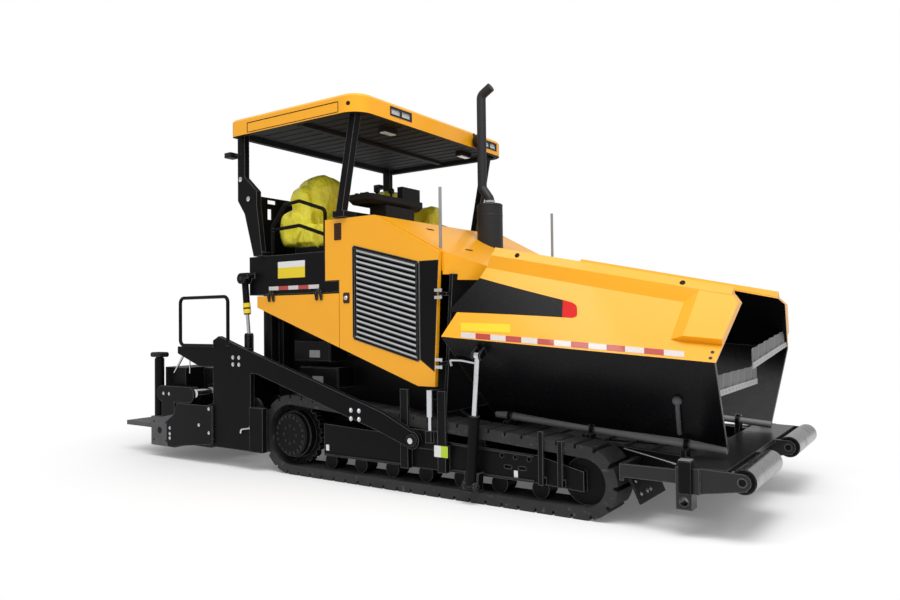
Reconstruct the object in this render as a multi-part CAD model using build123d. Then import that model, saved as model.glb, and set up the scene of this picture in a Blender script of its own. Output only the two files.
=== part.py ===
from build123d import *

import math
import os

# Tracked asphalt paver with its hopper wings folded and its screed lifted clear of the ground.
# Millimetres. +X points forward to the push rollers, +Y to the machine's left, +Z up.
# The origin lies on the ground, under the middle of the machine's box.

# Fits and running gaps
RUN_FIT = 0.05
SEAT_GAP = 0.3
MOVE_GAP = 6.0
CUT_PAST = 1.0

# Tracks
TRACK_OUTER_Y = 1190.0
SHOE_WIDTH = 320.0
SHOE_PITCH = 150.0
SHOE_SPLIT = 18.0
SHOE_BEVEL = 7.0
SHOE_THICK = 34.0
LINK_HEIGHT = 58.0
SPROCKET_X = -820.0
SPROCKET_LOOP_R = 385.0
IDLER_X = 2250.0
IDLER_LOOP_R = 275.0

# Track frames, rollers and final drives
FRAME_INNER_Y = 905.0
FRAME_OUTER_Y = 1160.0
FRAME_REAR_X = -400.0
FRAME_BOTTOM_Z = 220.0
FRAME_TOP_REAR_Z = 520.0
FRAME_TOP_FRONT_Z = 436.0
FRAME_HOLE_XS = (1547.0, 1668.0, 1790.0)
FRAME_HOLE_R = 17.0
FRAME_HOLE_DROP = 42.0
FRAME_HOLE_DEPTH = 30.0
FRAME_SLOT_XS = (1600.0, 1730.0)
FRAME_SLOT_SIZE = (70.0, 26.0)
FRAME_SLOT_Z = 320.0
UPRIGHT_XS = (1898.0, 2060.0)
UPRIGHT_WIDTH = 40.0
UPRIGHT_OUTER_Y = 1214.0
UPRIGHT_TOP_ZS = (630.0, 570.0)
ROLLER_R = 75.0
ROLLER_WIDTH = 150.0
ROLLER_COUNT = 7
ROLLER_FIRST_X = -360.0
ROLLER_LAST_X = 1860.0
CARRIER_R = 60.0
CARRIER_XS = (300.0, 1300.0)
HUB_R = 225.0
HUB_OUTER_Y = 1195.0
HUB_STEP = 60.0
HUB_BEVEL = 14.0
HUB_NECK_R = 180.0
SPROCKET_WIDTH = 70.0
SPROCKET_TEETH = 21

# Main frame between the tracks
SIDE_PLATE_INNER_Y = 800.0
SIDE_PLATE = 40.0
KEEL_Z = 300.0
KEEL_PLATE = 30.0
FRAME_TAIL_X = -1350.0
FRAME_NOSE_X = 2960.0
HOPPER_RAIL_DROP = 75.0
HOPPER_RAIL_TAIL = 200.0
ENGINE_BAY_TOP_Z = 1150.0
CROSS_BEAM_XS = (180.0, 1580.0)
CROSS_BEAM_LENGTH = 160.0
CROSS_BEAM_HEIGHT = 150.0
TUNNEL_TOP_Z = 700.0
BEARER_TOP_Z = 900.0
BEARER_XS = (-200.0, 780.0)
BEARER_PLATE = 40.0
CONVEYOR_TOP_Z = 400.0
CONVEYOR_SLAT = 22.0
CONVEYOR_SLAT_PITCH = 260.0
CONVEYOR_LANE_WIDTH = 660.0
CONVEYOR_LANE_Y = 370.0
CONVEYOR_TAIL_X = -1300.0
CONVEYOR_NOSE_X = 2900.0

# Engine block and hood
ENGINE_X = (-220.0, 820.0)
ENGINE_HALF_WIDTH = 560.0
ENGINE_TOP_Z = 2050.0
HOOD_HALF_WIDTH = 1105.0
HOOD_WALL = 30.0
HOOD_REAR_X = -380.0
HOOD_TOP_Z = 2445.0
HOOD_PEAK_X = 230.0
HOOD_SHOULDER_X = 970.0
HOOD_SHOULDER_Z = 2070.0
HOOD_NOSE_X = 1200.0
HOOD_NOSE_Z = 1950.0
HOOD_NOSE_HALF_WIDTH = 780.0
FASCIA_LOW_Z = 1830.0

# Hopper back wall
BACK_WALL_FOOT_X = 930.0
BACK_WALL_FOOT_Z = 700.0
BACK_WALL_TOP_X = 1010.0
BACK_WALL_TOP_Z = 1880.0
BACK_WALL_PLATE = 30.0
BACK_WALL_HALF_WIDTH = 1085.0

# Side boxes over the tracks, below the flaps
SIDE_BOX_OUTER_Y = 1080.0
UPPER_BOX_X = (-880.0, -394.0)
UPPER_BOX_Z = (1095.0, 1300.0)
LOWER_BOX_X = (-800.0, -293.0)
LOWER_BOX_Z = (852.0, 1046.0)
SIDE_BOX_BEVEL = 12.0

# Engine doors and lower flaps
PANEL_INNER_Y = 1110.0
PANEL_OUTER_Y = 1150.0
DOOR_REAR_X = -380.0
DOOR_SPLIT_X = -200.0
DOOR_STEP_Z = 1870.0
DOOR_FRONT_TOP_X = 945.0
DOOR_FRONT_LOW_X = 890.0
DOOR_LOW_Z = 920.0
DOOR_TIP_X = 710.0
DOOR_GAP = 8.0
DOOR_AXIS_X = 968.0
DOOR_STRAP_LENGTH = 70.0
DOOR_HINGE_ZS = (1120.0, 1710.0)
FLAP_REAR_X = -1335.0
FLAP_TOP_Z = 1745.0
FLAP_REAR_LOW_Z = 1630.0
FLAP_AXIS_Z = 1760.0
FLAP_STRAP_LENGTH = 60.0
FLAP_HINGE_XS = (-1120.0, -460.0)
LOUVRE_REAR_X = -20.0
LOUVRE_FRONT_X = 720.0
LOUVRE_REAR_Z = (1330.0, 2170.0)
LOUVRE_FRONT_Z = (1140.0, 1985.0)
LOUVRE_SLATS = 17
LOUVRE_SLAT_THICK = 30.0
LOUVRE_SLAT_SHARE = 0.62
HINGE_EYE_R = 14.0
HINGE_EYE_LENGTH = 30.0
HINGE_PIN_R = 7.0
HINGE_KNUCKLE = 26.0
HINGE_STRAP = 9.0

# Operator platform
PLATFORM_REAR_X = -1450.0
PLATFORM_BASE_Z = 1757.0
PLATFORM_FLOOR_Z = 1890.0
PLATFORM_SIDE_Z = 2150.0
PLATFORM_HALF_WIDTH = 1150.0
PLATFORM_SIDE_WALL = 110.0
PLATFORM_REAR_WALL = 50.0

# Roof and posts
ROOF_FRONT_X = 180.0
ROOF_REAR_X = -1560.0
ROOF_HALF_WIDTH = 1300.0
ROOF_LOW_Z = 3380.0
ROOF_TOP_Z = 3555.0
ROOF_CORNER = 190.0
ROOF_REAR_CORNER = 60.0
ROOF_EDGE_BEVEL = 26.0
ROOF_RIM = 60.0
GROOVE = 6.0
GROOVE_X = (-1300.0, -60.0)
GROOVE_Z = (3395.0, 3490.0)
LAMP_LEFT_Y = (800.0, 1100.0)
LAMP_RIGHT_Y = (510.0, 845.0)
LAMP_Z = (3425.0, 3515.0)
LAMP_POCKET = 40.0
LAMP_PROUD = 4.0
LAMP_FRAME = 18.0
LAMP_DISH = 14.0
ROOF_SKIN = 30.0
LINER_LOW_Z = 3425.0
LINER_THICK = 40.0
FRONT_POST_FOOT_X = -175.0
FRONT_POST_TOP_X = 20.0
FRONT_POST_Y = 1150.0
POST_WIDTH = 76.0
FRONT_POST_FOOT_Y = 1020.0
FRONT_POST_FOOT = 60.0
FRONT_POST_FOOT_LENGTH = 140.0
REAR_POST_INSET = 35.0
REAR_POST_THICK = 60.0
REAR_POST_FOOT = 40.0
REAR_POST_FOOT_X = (-1324.0, -1200.0)
REAR_POST_TOP_X = (-1561.0, -1452.0)
REAR_POST_PLATE_FRONT_X = -1275.0
REAR_POST_PLATE_Z = (2676.0, 2812.0)
REAR_POST_NECK_Z = 2971.0
REAR_POST_HEEL_X = -1458.0
REAR_POST_HEEL_Z = (2594.0, 2737.0)

# Hopper wings, drawn in a frame pitched forward about the hinge's rear end
WING_HINGE_X = 1260.0
WING_HINGE_Y = 750.0
WING_HINGE_Z = 670.0
WING_PITCH = 4.17
WING_LENGTH = 1925.0
WING_KNEE_OUT = 500.0
WING_KNEE_UP = 662.0
WING_KNEE_REAR = -279.0
WING_KNEE_FRONT = 1937.0
WING_TOP_REAR = -32.0
WING_TOP_FRONT = 1975.0
WING_TOP_REAR_OUT = 70.0
WING_TOP_REAR_UP = 1401.0
WING_TOP_FRONT_OUT = -10.0
WING_TOP_FRONT_UP = 1125.0
WING_PLATE = 24.0
WING_BORDER = 55.0
WING_BORDER_SLOPE = 95.0
WING_BORDER_TOP = 80.0
WING_BORDER_FRONT = 245.0
WING_BORDER_LOW = 170.0
WING_BORDER_FOOT = 2.0
WING_BORDER_SINK = 10.0
WING_BORDER_STEP = 3.0
WING_CUT = 60.0
WING_HOLE_R = 20.0
WING_HOLES_AT = (190.0, 1560.0)
WING_BARREL_R = 30.0
WING_LUG_R = 46.0
WING_LUG_WIDTH = 40.0
WING_LUG_AT = (140.0, 890.0, 1640.0)

# Aprons across the hopper's mouth, each from an inner to an outer end as a pair out and up
APRON_LEFT = ((-160.0, 1080.0), (1300.0, 1216.0))
APRON_LEFT_X = 3235.0
APRON_RIGHT = ((-310.0, 925.0), (1180.0, 925.0))
APRON_RIGHT_X = 3160.0
APRON_HEIGHT = 150.0
APRON_PLATE = 6.0
APRON_PLEAT = 105.0
APRON_PLEAT_DEPTH = 16.0
APRON_LIP = 44.0
APRON_LIP_THICK = 10.0
APRON_HOLE_R = 9.0
APRON_HOLE_PITCH = 95.0

# Hopper cylinders
CYLINDER_X = 1300.0
CYLINDER_BASE_Y = 1242.0
CYLINDER_BASE_Z = 150.0
CYLINDER_EYE_Y = 1236.0
CYLINDER_EYE_Z = 1200.0
CYLINDER_BARREL_R = 44.0
CYLINDER_BARREL_LENGTH = 565.0
CYLINDER_ROD_R = 24.0
CYLINDER_ROD_LENGTH = 530.0
CYLINDER_EYE_R = 36.0
CYLINDER_EYE_WIDTH = 40.0
CYLINDER_PIN_R = 18.0
TRUNNION_SHARE = 0.8
CLEVIS_PLATE = 16.0
CLEVIS_LENGTH = 80.0

# Front beam and push rollers
PUSH_ROLLER_X = 3390.0
PUSH_ROLLER_Z = 410.0
PUSH_ROLLER_R = 85.0
PUSH_ROLLER_Y = (350.0, 1190.0)
PUSH_AXLE_R = 28.0
PUSH_BRACKET = 24.0
PUSH_BRACKET_LAP = 20.0
BEAM_X = (2960.0, 3120.0)
BEAM_Z = (300.0, 475.0)
BEAM_HALF_WIDTH = 1240.0
DECK_FRONT_X = 3290.0
DECK_PLATE = 30.0
BUMPER_POST_Z = 190.0
BUMPER_POST_WIDTH = 110.0
TIE_DOWN_R = 30.0
SCRAPER_X = (2545.0, 2575.0)
SCRAPER_Z = (330.0, 450.0)
SCRAPER_ARM = 24.0
SCRAPER_ARM_Z = (355.0, 450.0)
SCRAPER_INSET = 36.0

# Tow points and their guides
TOW_PIVOT_X = 730.0
TOW_PIVOT_Z = 470.0
TOW_PIN_R = 28.0
CARRIAGE_Y = (1196.0, 1220.0)
CARRIAGE_X = (645.0, 960.0)
CARRIAGE_Z = (400.0, 560.0)
GUIDE_POST_WIDTH = 80.0
GUIDE_POST_Z = (215.0, 895.0)
LEVEL_ROD_X = 892.0
LEVEL_ROD_R = 18.0
LEVEL_ROD_TOP_Z = 795.0
LEVEL_BARREL_Z = (675.0, 900.0)
LEVEL_BARREL_R = 30.0
LEVEL_BRACKET = 80.0
LEVEL_BOSS_RISE = 60.0
LEVEL_ROD_RISE = 100.0

# Tow arms and screed
ARM_Y = (1226.0, 1276.0)
ARM_EYE_R = 74.0
ARM_NECK_X = 400.0
ARM_NECK_TOP_Z = 690.0
ARM_NECK_LOW_Z = 510.0
ARM_KINK_X = -1410.0
ARM_KINK_TOP_Z = 1220.0
ARM_KINK_LOW_X = -1220.0
ARM_KINK_LOW_Z = 970.0
ARM_HEEL_X = -1880.0
ARM_HEEL_TOP_Z = 1340.0
ARM_HEEL_CUT = 90.0
ARM_HEEL_LOW_Z = 640.0
ARM_PLATE_FRONT_X = -1300.0
ARM_PLATE_LOW_Z = 190.0
ARM_POST_X = (-1306.0, -1115.0)
ARM_POST_OUTER_Y = 1286.0
ARM_POST_TOP_Z = 630.0
ARM_SHELF_REAR_X = -2480.0
ARM_SHELF_ROOT_X = -2110.0
ARM_SHELF_Z = (1020.0, 1150.0, 1225.0)
SCREED_FRONT_X = -1920.0
SCREED_REAR_X = -2500.0
SCREED_LOW_Z = 160.0
SCREED_TOP_Z = 480.0
SCREED_BEVEL = 60.0
GUIDE_HOUSING_X = (-2420.0, -1930.0)
GUIDE_HOUSING_Z = (480.0, 980.0)
GUIDE_HOUSING_HALF_WIDTH = 980.0
GUIDE_TUBE_Z = 706.0
GUIDE_TUBE_R = 60.0
GUIDE_TUBE_X_RIGHT = -2260.0
GUIDE_TUBE_X_LEFT = -2040.0
GUIDE_COLLAR_R = 100.0
GUIDE_COLLAR = 24.0
GUIDE_TUBE_INNER_END = 1000.0
EXTENSION_X = (-2930.0, -2512.0)
EXTENSION_INNER_Y = 40.0
EXTENSION_Z = (126.0, 445.0)
TOWER_X = (-2880.0, -2512.0)
TOWER_OUTER_Y = 1150.0
TOWER_TOP_Z = 985.0
END_PLATE_Y = (1285.0, 1300.0)
END_PLATE_REAR_X = (-2620.0, -2475.0)
END_PLATE_FRONT_X = -1870.0
END_PLATE_LOW_Z = (126.0, 217.0)
END_PLATE_TOP_Z = 612.0
BRACKET_R = 85.0
BRACKET_REAR_X = -2735.0
BRACKET_INNER_Y = 1210.0
CONTROL_POST_X = -2885.0
CONTROL_POST_Y = 1225.0
CONTROL_POST_R = 52.0
CONTROL_POST_TOP_Z = 1100.0
CONTROL_POST_BEVEL = 18.0
STEP_REAR_X = -3475.0
STEP_Z = (305.0, 355.0)
STEP_INSET = 30.0
EXTENSION_BOLT_R = 13.0
EXTENSION_BOLT_DEPTH = 60.0
EXTENSION_BOLT_SPACING_X = 220.0
EXTENSION_BOLT_SPACING_Z = 200.0
EXTENSION_BOLT_X = -2770.0
EXTENSION_BOLT_Z = 285.0

# Screed handrails
SCREED_RAIL_FRONT_X = -1640.0
SCREED_RAIL_REAR_X = -2430.0
SCREED_RAIL_LOW_Z = 1240.0
SCREED_RAIL_TOP_Z = 1750.0
SCREED_RAIL_BEND = 60.0

# Lift cylinders between the platform and the tow arms
LIFT_Y = 1196.0
LIFT_TOP_X = -1470.0
LIFT_TOP_Z = 1930.0
LIFT_EYE_X = -1410.0
LIFT_EYE_Z = 1345.0
LIFT_SLACK = 100.0
LIFT_BARREL_R = 34.0
LIFT_BARREL_LENGTH = 370.0
LIFT_ROD_R = 18.0
LIFT_ROD_LENGTH = 375.0
LIFT_EYE_R = 28.0
LIFT_EYE_WIDTH = 30.0
LIFT_PIN_R = 14.0

# Augers behind the tracks
AUGER_X = -1590.0
AUGER_Z = 480.0
AUGER_R = 200.0
AUGER_SHAFT_R = 55.0
AUGER_PITCH = 300.0
AUGER_FLIGHT = 18.0
AUGER_INNER_Y = 110.0
AUGER_OUTER_Y = 1150.0
AUGER_CASE_HALF_WIDTH = 90.0
AUGER_JOURNAL_R = 30.0
AUGER_FLIGHT_LAP = 8.0
AUGER_CASE_R = 90.0
AUGER_CASE_DROP = 130.0
AUGER_BEAM_LOW_Z = 720.0
AUGER_BEAM_TAIL_Z = 920.0
AUGER_BEAM_END_Z = 860.0

# Exhaust and sight poles
EXHAUST_X = 600.0
EXHAUST_Y = 250.0
MUFFLER_R = 132.0
MUFFLER_BEVEL = 12.0
MUFFLER_TOP_Z = 2670.0
PIPE_R = 48.0
PIPE_BEND = 60.0
PIPE_TOP_Z = 3930.0
PIPE_JOG = 88.0
PIPE_NECK = 55.0
PIPE_JOG_HEIGHT = 120.0
PIPE_OUTLET = 120.0
POLE_X = 900.0
POLE_Y = 1060.0
POLE_R = 14.0
POLE_TOP_Z = 2635.0

# Seats, console and rails
SEAT_Y = 720.0
SEAT_X = -820.0
SEAT_WIDTH = 520.0
SEAT_DEPTH = 560.0
SEAT_BASE_Z = 2240.0
SEAT_CUSHION_Z = 2420.0
SEAT_BACK_Z = 2930.0
SEAT_BACK_FOOT = 200.0
SEAT_BACK_TOP = 90.0
SEAT_BACK_LEAN = 40.0
SEAT_ROUND = 45.0
SEAT_PEDESTAL_INSET = 60.0
DESK_PEDESTAL_DEPTH = 220.0
DESK_PEDESTAL_Y = (-240.0, 250.0)
DESK_TRAY_Y = (-490.0, 455.0)
DESK_TRAY_Z = (2700.0, 2800.0)
DESK_TRAY_DEPTH = 330.0
DESK_TRAY_CORNER = 70.0
DESK_TRAY_BEVEL = 40.0
DISPLAY_Y = (120.0, 440.0)
DISPLAY_TOP_Z = 2950.0
DISPLAY_DEPTH = 70.0
DISPLAY_SETBACK = 60.0
RAIL_R = 18.0
RAIL_REAR_INSET = 290.0
RAIL_FRONT_INSET = 50.0
RAIL_MIDDLE_Z = 2415.0
RAIL_CORNER_RISE = 45.0
RAIL_PEAK_X = -780.0
RAIL_TOP_Z = 2675.0
RAIL_FALL = 115.0
RAIL_SHOULDER = 200.0
RAIL_BEND = 60.0
GUARD_TOP_Z = 2790.0
GUARD_PLATE = 12.0
GUARD_SLOT_Y = (837.0, 947.0)
GUARD_SLOT_Z = (2725.0, 2765.0)
GUARD_WINDOW_Y = (894.0, 948.0)
GUARD_WINDOW_Z = (2559.0, 2670.0)


def block(x, y, z):
    """Box between three pairs of low and high coordinates."""
    middle = Pos((x[0] + x[1]) / 2, (y[0] + y[1]) / 2, (z[0] + z[1]) / 2)
    return middle * Box(x[1] - x[0], y[1] - y[0], z[1] - z[0])


def plate_xz(points, y_low, y_high):
    """Side outline in X and Z carried across from y_low to y_high."""
    outline = Plane.XZ * make_face(Polyline(*points, close=True))
    return Pos(0, y_high, 0) * extrude(outline, amount=y_high - y_low)


def plate_yz(points, x_low, x_high):
    """Front outline in Y and Z carried forward from x_low to x_high."""
    outline = Plane.YZ * make_face(Polyline(*points, close=True))
    return Pos(x_low, 0, 0) * extrude(outline, amount=x_high - x_low)


def rod(start, end, radius):
    """Round bar from one point to another."""
    along = Vector(*end) - Vector(*start)
    frame = Plane(origin=start, z_dir=along)
    return frame * Cylinder(radius, along.length, align=(Align.CENTER, Align.CENTER, Align.MIN))


def cross_bar(x, z, y, radius, past=0):
    """Round bar across the machine between a low and a high Y, run on past both ends."""
    return rod((x, y[0] - past, z), (x, y[1] + past, z), radius)


def bent_tube(points, radius, bend):
    """Round bar along straight runs joined by arcs of one bend radius."""
    path = FilletPolyline(*points, radius=bend)
    section = Plane(origin=path @ 0, z_dir=path % 0) * Circle(radius)
    return sweep(section, path)


def across(shape):
    """The same piece on the machine's other side."""
    return mirror(shape, about=Plane.XZ)


def pair(shape):
    """A piece and its copy on the other side, kept as separate solids."""
    return Compound(children=[*shape.solids(), *across(shape).solids()])


def save(node, shape):
    """Write one node."""
    export_step(shape, f"parts/{node}.step")


def save_sides(name, left):
    """Write a left piece and its mirrored right twin as two nodes."""
    save(f"{name}_left", left)
    save(f"{name}_right", across(left))


def hinge_eye(frame, reach):
    """Fixed eye of a pin hinge about a frame's Z, with a strap that reaches along the frame's X."""
    eye = Cylinder(HINGE_EYE_R, HINGE_EYE_LENGTH)
    eye += Pos(reach / 2, 0, 0) * Box(reach, HINGE_STRAP, HINGE_EYE_LENGTH)
    return frame * (eye - Cylinder(HINGE_PIN_R + RUN_FIT, 2 * HINGE_EYE_LENGTH))


def knuckle_offset():
    """Middle of a moving knuckle above or below its fixed eye."""
    return (HINGE_EYE_LENGTH + MOVE_GAP + HINGE_KNUCKLE) / 2


def hinge_pin(frame):
    """Moving pin of a hinge about a frame's Z, with a knuckle above and below the fixed eye."""
    pin = Cylinder(HINGE_PIN_R, 2 * knuckle_offset() + HINGE_KNUCKLE)
    for side in (-1, 1):
        pin += Pos(0, 0, side * knuckle_offset()) * Cylinder(HINGE_EYE_R, HINGE_KNUCKLE)
    return frame * pin


# Places that follow from the sizes above
FLAP_AXIS_Y = PLATFORM_HALF_WIDTH + HINGE_EYE_R + MOVE_GAP
DOOR_AXIS_Y = PANEL_OUTER_Y + HINGE_EYE_R

# Tracks

LOOP_INSET = SHOE_THICK + LINK_HEIGHT
TRACK_INNER_Y = TRACK_OUTER_Y - SHOE_WIDTH
TRACK_MID_Y = TRACK_OUTER_Y - SHOE_WIDTH / 2


def loop_face(inset):
    """Belt outline round the sprocket and the idler, drawn in by an inset."""
    rear = Pos(SPROCKET_X, SPROCKET_LOOP_R) * Circle(SPROCKET_LOOP_R - inset)
    front = Pos(IDLER_X, IDLER_LOOP_R) * Circle(IDLER_LOOP_R - inset)
    return make_hull(rear.edges() + front.edges())


def shoe_profile():
    """Side view of one road pad with its outer edges bevelled, outwards along -Y."""
    half = (SHOE_PITCH - SHOE_SPLIT) / 2
    points = [
        (-half, SHOE_THICK / 2),
        (-half, SHOE_BEVEL - SHOE_THICK),
        (SHOE_BEVEL - half, -SHOE_THICK),
        (half - SHOE_BEVEL, -SHOE_THICK),
        (half, SHOE_BEVEL - SHOE_THICK),
        (half, SHOE_THICK / 2),
    ]
    return make_face(Polyline(*points, close=True))


def track():
    """Left track: a closed chain band with its pads in the outline, carried across the shoe width."""
    belt = loop_face(SHOE_THICK)
    wire = belt.face().outer_wire()
    count = round(wire.length / SHOE_PITCH)
    shoes = []
    for index in range(count):
        share = index / count
        place = Plane(origin=wire @ share, x_dir=wire % share, z_dir=(0, 0, 1))
        shoes.append(place * shoe_profile())
    outline = (belt - loop_face(LOOP_INSET) + shoes) & loop_face(0)
    return Pos(0, TRACK_OUTER_Y, 0) * extrude(Plane.XZ * outline, amount=SHOE_WIDTH)


def cross_roller(x, z, radius, width):
    """Round roller lying across the track."""
    return cross_bar(x, z, (TRACK_MID_Y - width / 2, TRACK_MID_Y + width / 2), radius)


def top_run_z(x):
    """Height of the chain's inner face on the top run."""
    rear_z = 2 * SPROCKET_LOOP_R - LOOP_INSET
    front_z = 2 * IDLER_LOOP_R - LOOP_INSET
    return rear_z + (front_z - rear_z) * (x - SPROCKET_X) / (IDLER_X - SPROCKET_X)


def track_frame():
    """Left track frame with its rollers, idler, tow guide posts and hopper cylinder bracket."""
    outline = [
        (FRAME_REAR_X, FRAME_BOTTOM_Z),
        (FRAME_REAR_X, FRAME_TOP_REAR_Z),
        (ROLLER_LAST_X, FRAME_TOP_FRONT_Z),
        (IDLER_X, IDLER_LOOP_R + ROLLER_R),
        (IDLER_X, IDLER_LOOP_R - ROLLER_R),
        (ROLLER_LAST_X, FRAME_BOTTOM_Z),
    ]
    frame = plate_xz(outline, FRAME_INNER_Y, FRAME_OUTER_Y) - frame_holes()
    for x, top_z in zip(UPRIGHT_XS, UPRIGHT_TOP_ZS):
        upright_x = (x, x + UPRIGHT_WIDTH)
        frame += block(upright_x, (TRACK_OUTER_Y + MOVE_GAP, UPRIGHT_OUTER_Y), (FRAME_BOTTOM_Z, top_z))
        frame += block(upright_x, (FRAME_OUTER_Y, UPRIGHT_OUTER_Y), (FRAME_BOTTOM_Z, IDLER_LOOP_R))
    step = (ROLLER_LAST_X - ROLLER_FIRST_X) / (ROLLER_COUNT - 1)
    for index in range(ROLLER_COUNT):
        x = ROLLER_FIRST_X + index * step
        frame += cross_roller(x, LOOP_INSET + ROLLER_R + SEAT_GAP, ROLLER_R, ROLLER_WIDTH)
    for x in CARRIER_XS:
        frame += cross_roller(x, top_run_z(x) - CARRIER_R - 4 * SEAT_GAP, CARRIER_R, ROLLER_WIDTH)
    frame += cross_roller(IDLER_X, IDLER_LOOP_R, IDLER_LOOP_R - LOOP_INSET - SEAT_GAP, ROLLER_WIDTH)
    for x in (CARRIAGE_X[0] - GUIDE_POST_WIDTH - SEAT_GAP, CARRIAGE_X[1] + SEAT_GAP):
        post_x = (x, x + GUIDE_POST_WIDTH)
        frame += block(post_x, CARRIAGE_Y, GUIDE_POST_Z)
        frame += block(post_x, (FRAME_OUTER_Y, CARRIAGE_Y[0]), (GUIDE_POST_Z[0], FRAME_TOP_FRONT_Z))
    return frame + cylinder_bracket()


def frame_top_z(x):
    """Sloping top edge of the track frame's plate."""
    share = (x - FRAME_REAR_X) / (ROLLER_LAST_X - FRAME_REAR_X)
    return FRAME_TOP_REAR_Z + share * (FRAME_TOP_FRONT_Z - FRAME_TOP_REAR_Z)


def frame_holes():
    """Row of round holes and a row of slots sunk in the track frame's outer face."""
    depth_y = (FRAME_OUTER_Y - FRAME_HOLE_DEPTH, FRAME_OUTER_Y + FRAME_HOLE_DEPTH)
    holes = []
    for x in FRAME_HOLE_XS:
        holes.append(cross_bar(x, frame_top_z(x) - FRAME_HOLE_DROP, depth_y, FRAME_HOLE_R))
    length, height = FRAME_SLOT_SIZE
    for x in FRAME_SLOT_XS:
        slot = Plane.XZ * SlotOverall(length, height)
        holes.append(Pos(x, FRAME_OUTER_Y, FRAME_SLOT_Z) * extrude(slot, amount=FRAME_HOLE_DEPTH, both=True))
    return holes


def cylinder_bracket():
    """Clevis on the track frame that carries the foot of the hopper cylinder."""
    frame = cylinder_frame()
    inner = FRAME_OUTER_Y - CYLINDER_BASE_Y
    ears = []
    for side in (-1, 1):
        middle = side * (CYLINDER_BARREL_R + MOVE_GAP + CLEVIS_PLATE / 2)
        ear = Pos(middle, 0, 0) * Rot(0, 90, 0) * Cylinder(CYLINDER_EYE_R, CLEVIS_PLATE)
        ear += Pos(middle, inner / 2, CYLINDER_EYE_R) * Box(CLEVIS_PLATE, -inner, 4 * CYLINDER_EYE_R)
        ear -= Rot(0, 90, 0) * Cylinder(CYLINDER_PIN_R + RUN_FIT, 4 * CLEVIS_LENGTH)
        ears.append(frame * ear)
    return ears


def cylinder_rise():
    """Rise from the hopper cylinder's foot to its rod eye, square to the wing's hinge."""
    return (CYLINDER_EYE_Z - CYLINDER_BASE_Z) / math.cos(math.radians(WING_PITCH))


def cylinder_frame():
    """Frame at the hopper cylinder's foot, with X along the wing's hinge and Z up the cylinder."""
    lean = math.degrees(math.atan2(CYLINDER_EYE_Y - CYLINDER_BASE_Y, cylinder_rise()))
    return Location((CYLINDER_X, CYLINDER_BASE_Y, CYLINDER_BASE_Z)) * Rot(0, WING_PITCH, 0) * Rot(-lean, 0, 0)


def drive_sprocket():
    """Left drive sprocket: a toothed ring on the final drive's stepped hub, turned about the axle."""
    ring_r = SPROCKET_LOOP_R - LOOP_INSET - SEAT_GAP
    hub_profile = [
        (0, SIDE_PLATE_INNER_Y + SIDE_PLATE),
        (HUB_NECK_R, SIDE_PLATE_INNER_Y + SIDE_PLATE),
        (HUB_NECK_R, TRACK_MID_Y - SPROCKET_WIDTH),
        (HUB_R, TRACK_MID_Y - SPROCKET_WIDTH),
        (HUB_R, HUB_OUTER_Y - HUB_STEP),
        (HUB_R - HUB_BEVEL, HUB_OUTER_Y - HUB_STEP),
        (HUB_R - HUB_BEVEL, HUB_OUTER_Y - HUB_BEVEL),
        (HUB_R - 2 * HUB_BEVEL, HUB_OUTER_Y),
        (0, HUB_OUTER_Y),
    ]
    hub = revolve(make_face(Polyline(*hub_profile, close=True)), Axis.Y)
    ring = Circle(ring_r)
    notch_r = math.pi * ring_r / SPROCKET_TEETH / 2
    ring -= PolarLocations(ring_r, SPROCKET_TEETH) * Circle(notch_r)
    half = SPROCKET_WIDTH / 2
    disc = Pos(0, TRACK_MID_Y + half, 0) * extrude(Plane.XZ * ring, amount=SPROCKET_WIDTH)
    return Pos(SPROCKET_X, 0, SPROCKET_LOOP_R) * (hub + disc)


# Main frame, conveyor and hopper back wall

SIDE_PLATE_OUTER_Y = SIDE_PLATE_INNER_Y + SIDE_PLATE


def wing_line_z(x):
    """Height of the wing hinge line above the ground."""
    return WING_HINGE_Z - (x - WING_HINGE_X) * math.tan(math.radians(WING_PITCH))


def back_wall_x(z):
    """Rear face of the hopper's leaning back wall."""
    share = (z - BACK_WALL_FOOT_Z) / (BACK_WALL_TOP_Z - BACK_WALL_FOOT_Z)
    return BACK_WALL_FOOT_X + share * (BACK_WALL_TOP_X - BACK_WALL_FOOT_X)


def wing_frame():
    """Frame at the rear end of the left wing's hinge, X along the hinge, Y outwards."""
    return Location((WING_HINGE_X, WING_HINGE_Y, WING_HINGE_Z)) * Rot(0, WING_PITCH, 0)


def wing_lugs():
    """Hinge lugs that carry the left wing's barrel, standing off the side plate."""
    reach = SIDE_PLATE_INNER_Y + SIDE_PLATE / 2 - WING_HINGE_Y
    lugs = []
    for along in WING_LUG_AT:
        lug = Rot(0, 90, 0) * Cylinder(WING_LUG_R, WING_LUG_WIDTH)
        lug += Pos(0, reach / 2, -HOPPER_RAIL_DROP) * Box(WING_LUG_WIDTH, reach + WING_LUG_R, 2 * WING_LUG_R)
        lug -= Rot(0, 90, 0) * Cylinder(WING_BARREL_R + RUN_FIT, 2 * WING_LUG_WIDTH)
        lugs.append(wing_frame() * Pos(along, 0, 0) * lug)
    return lugs


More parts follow.
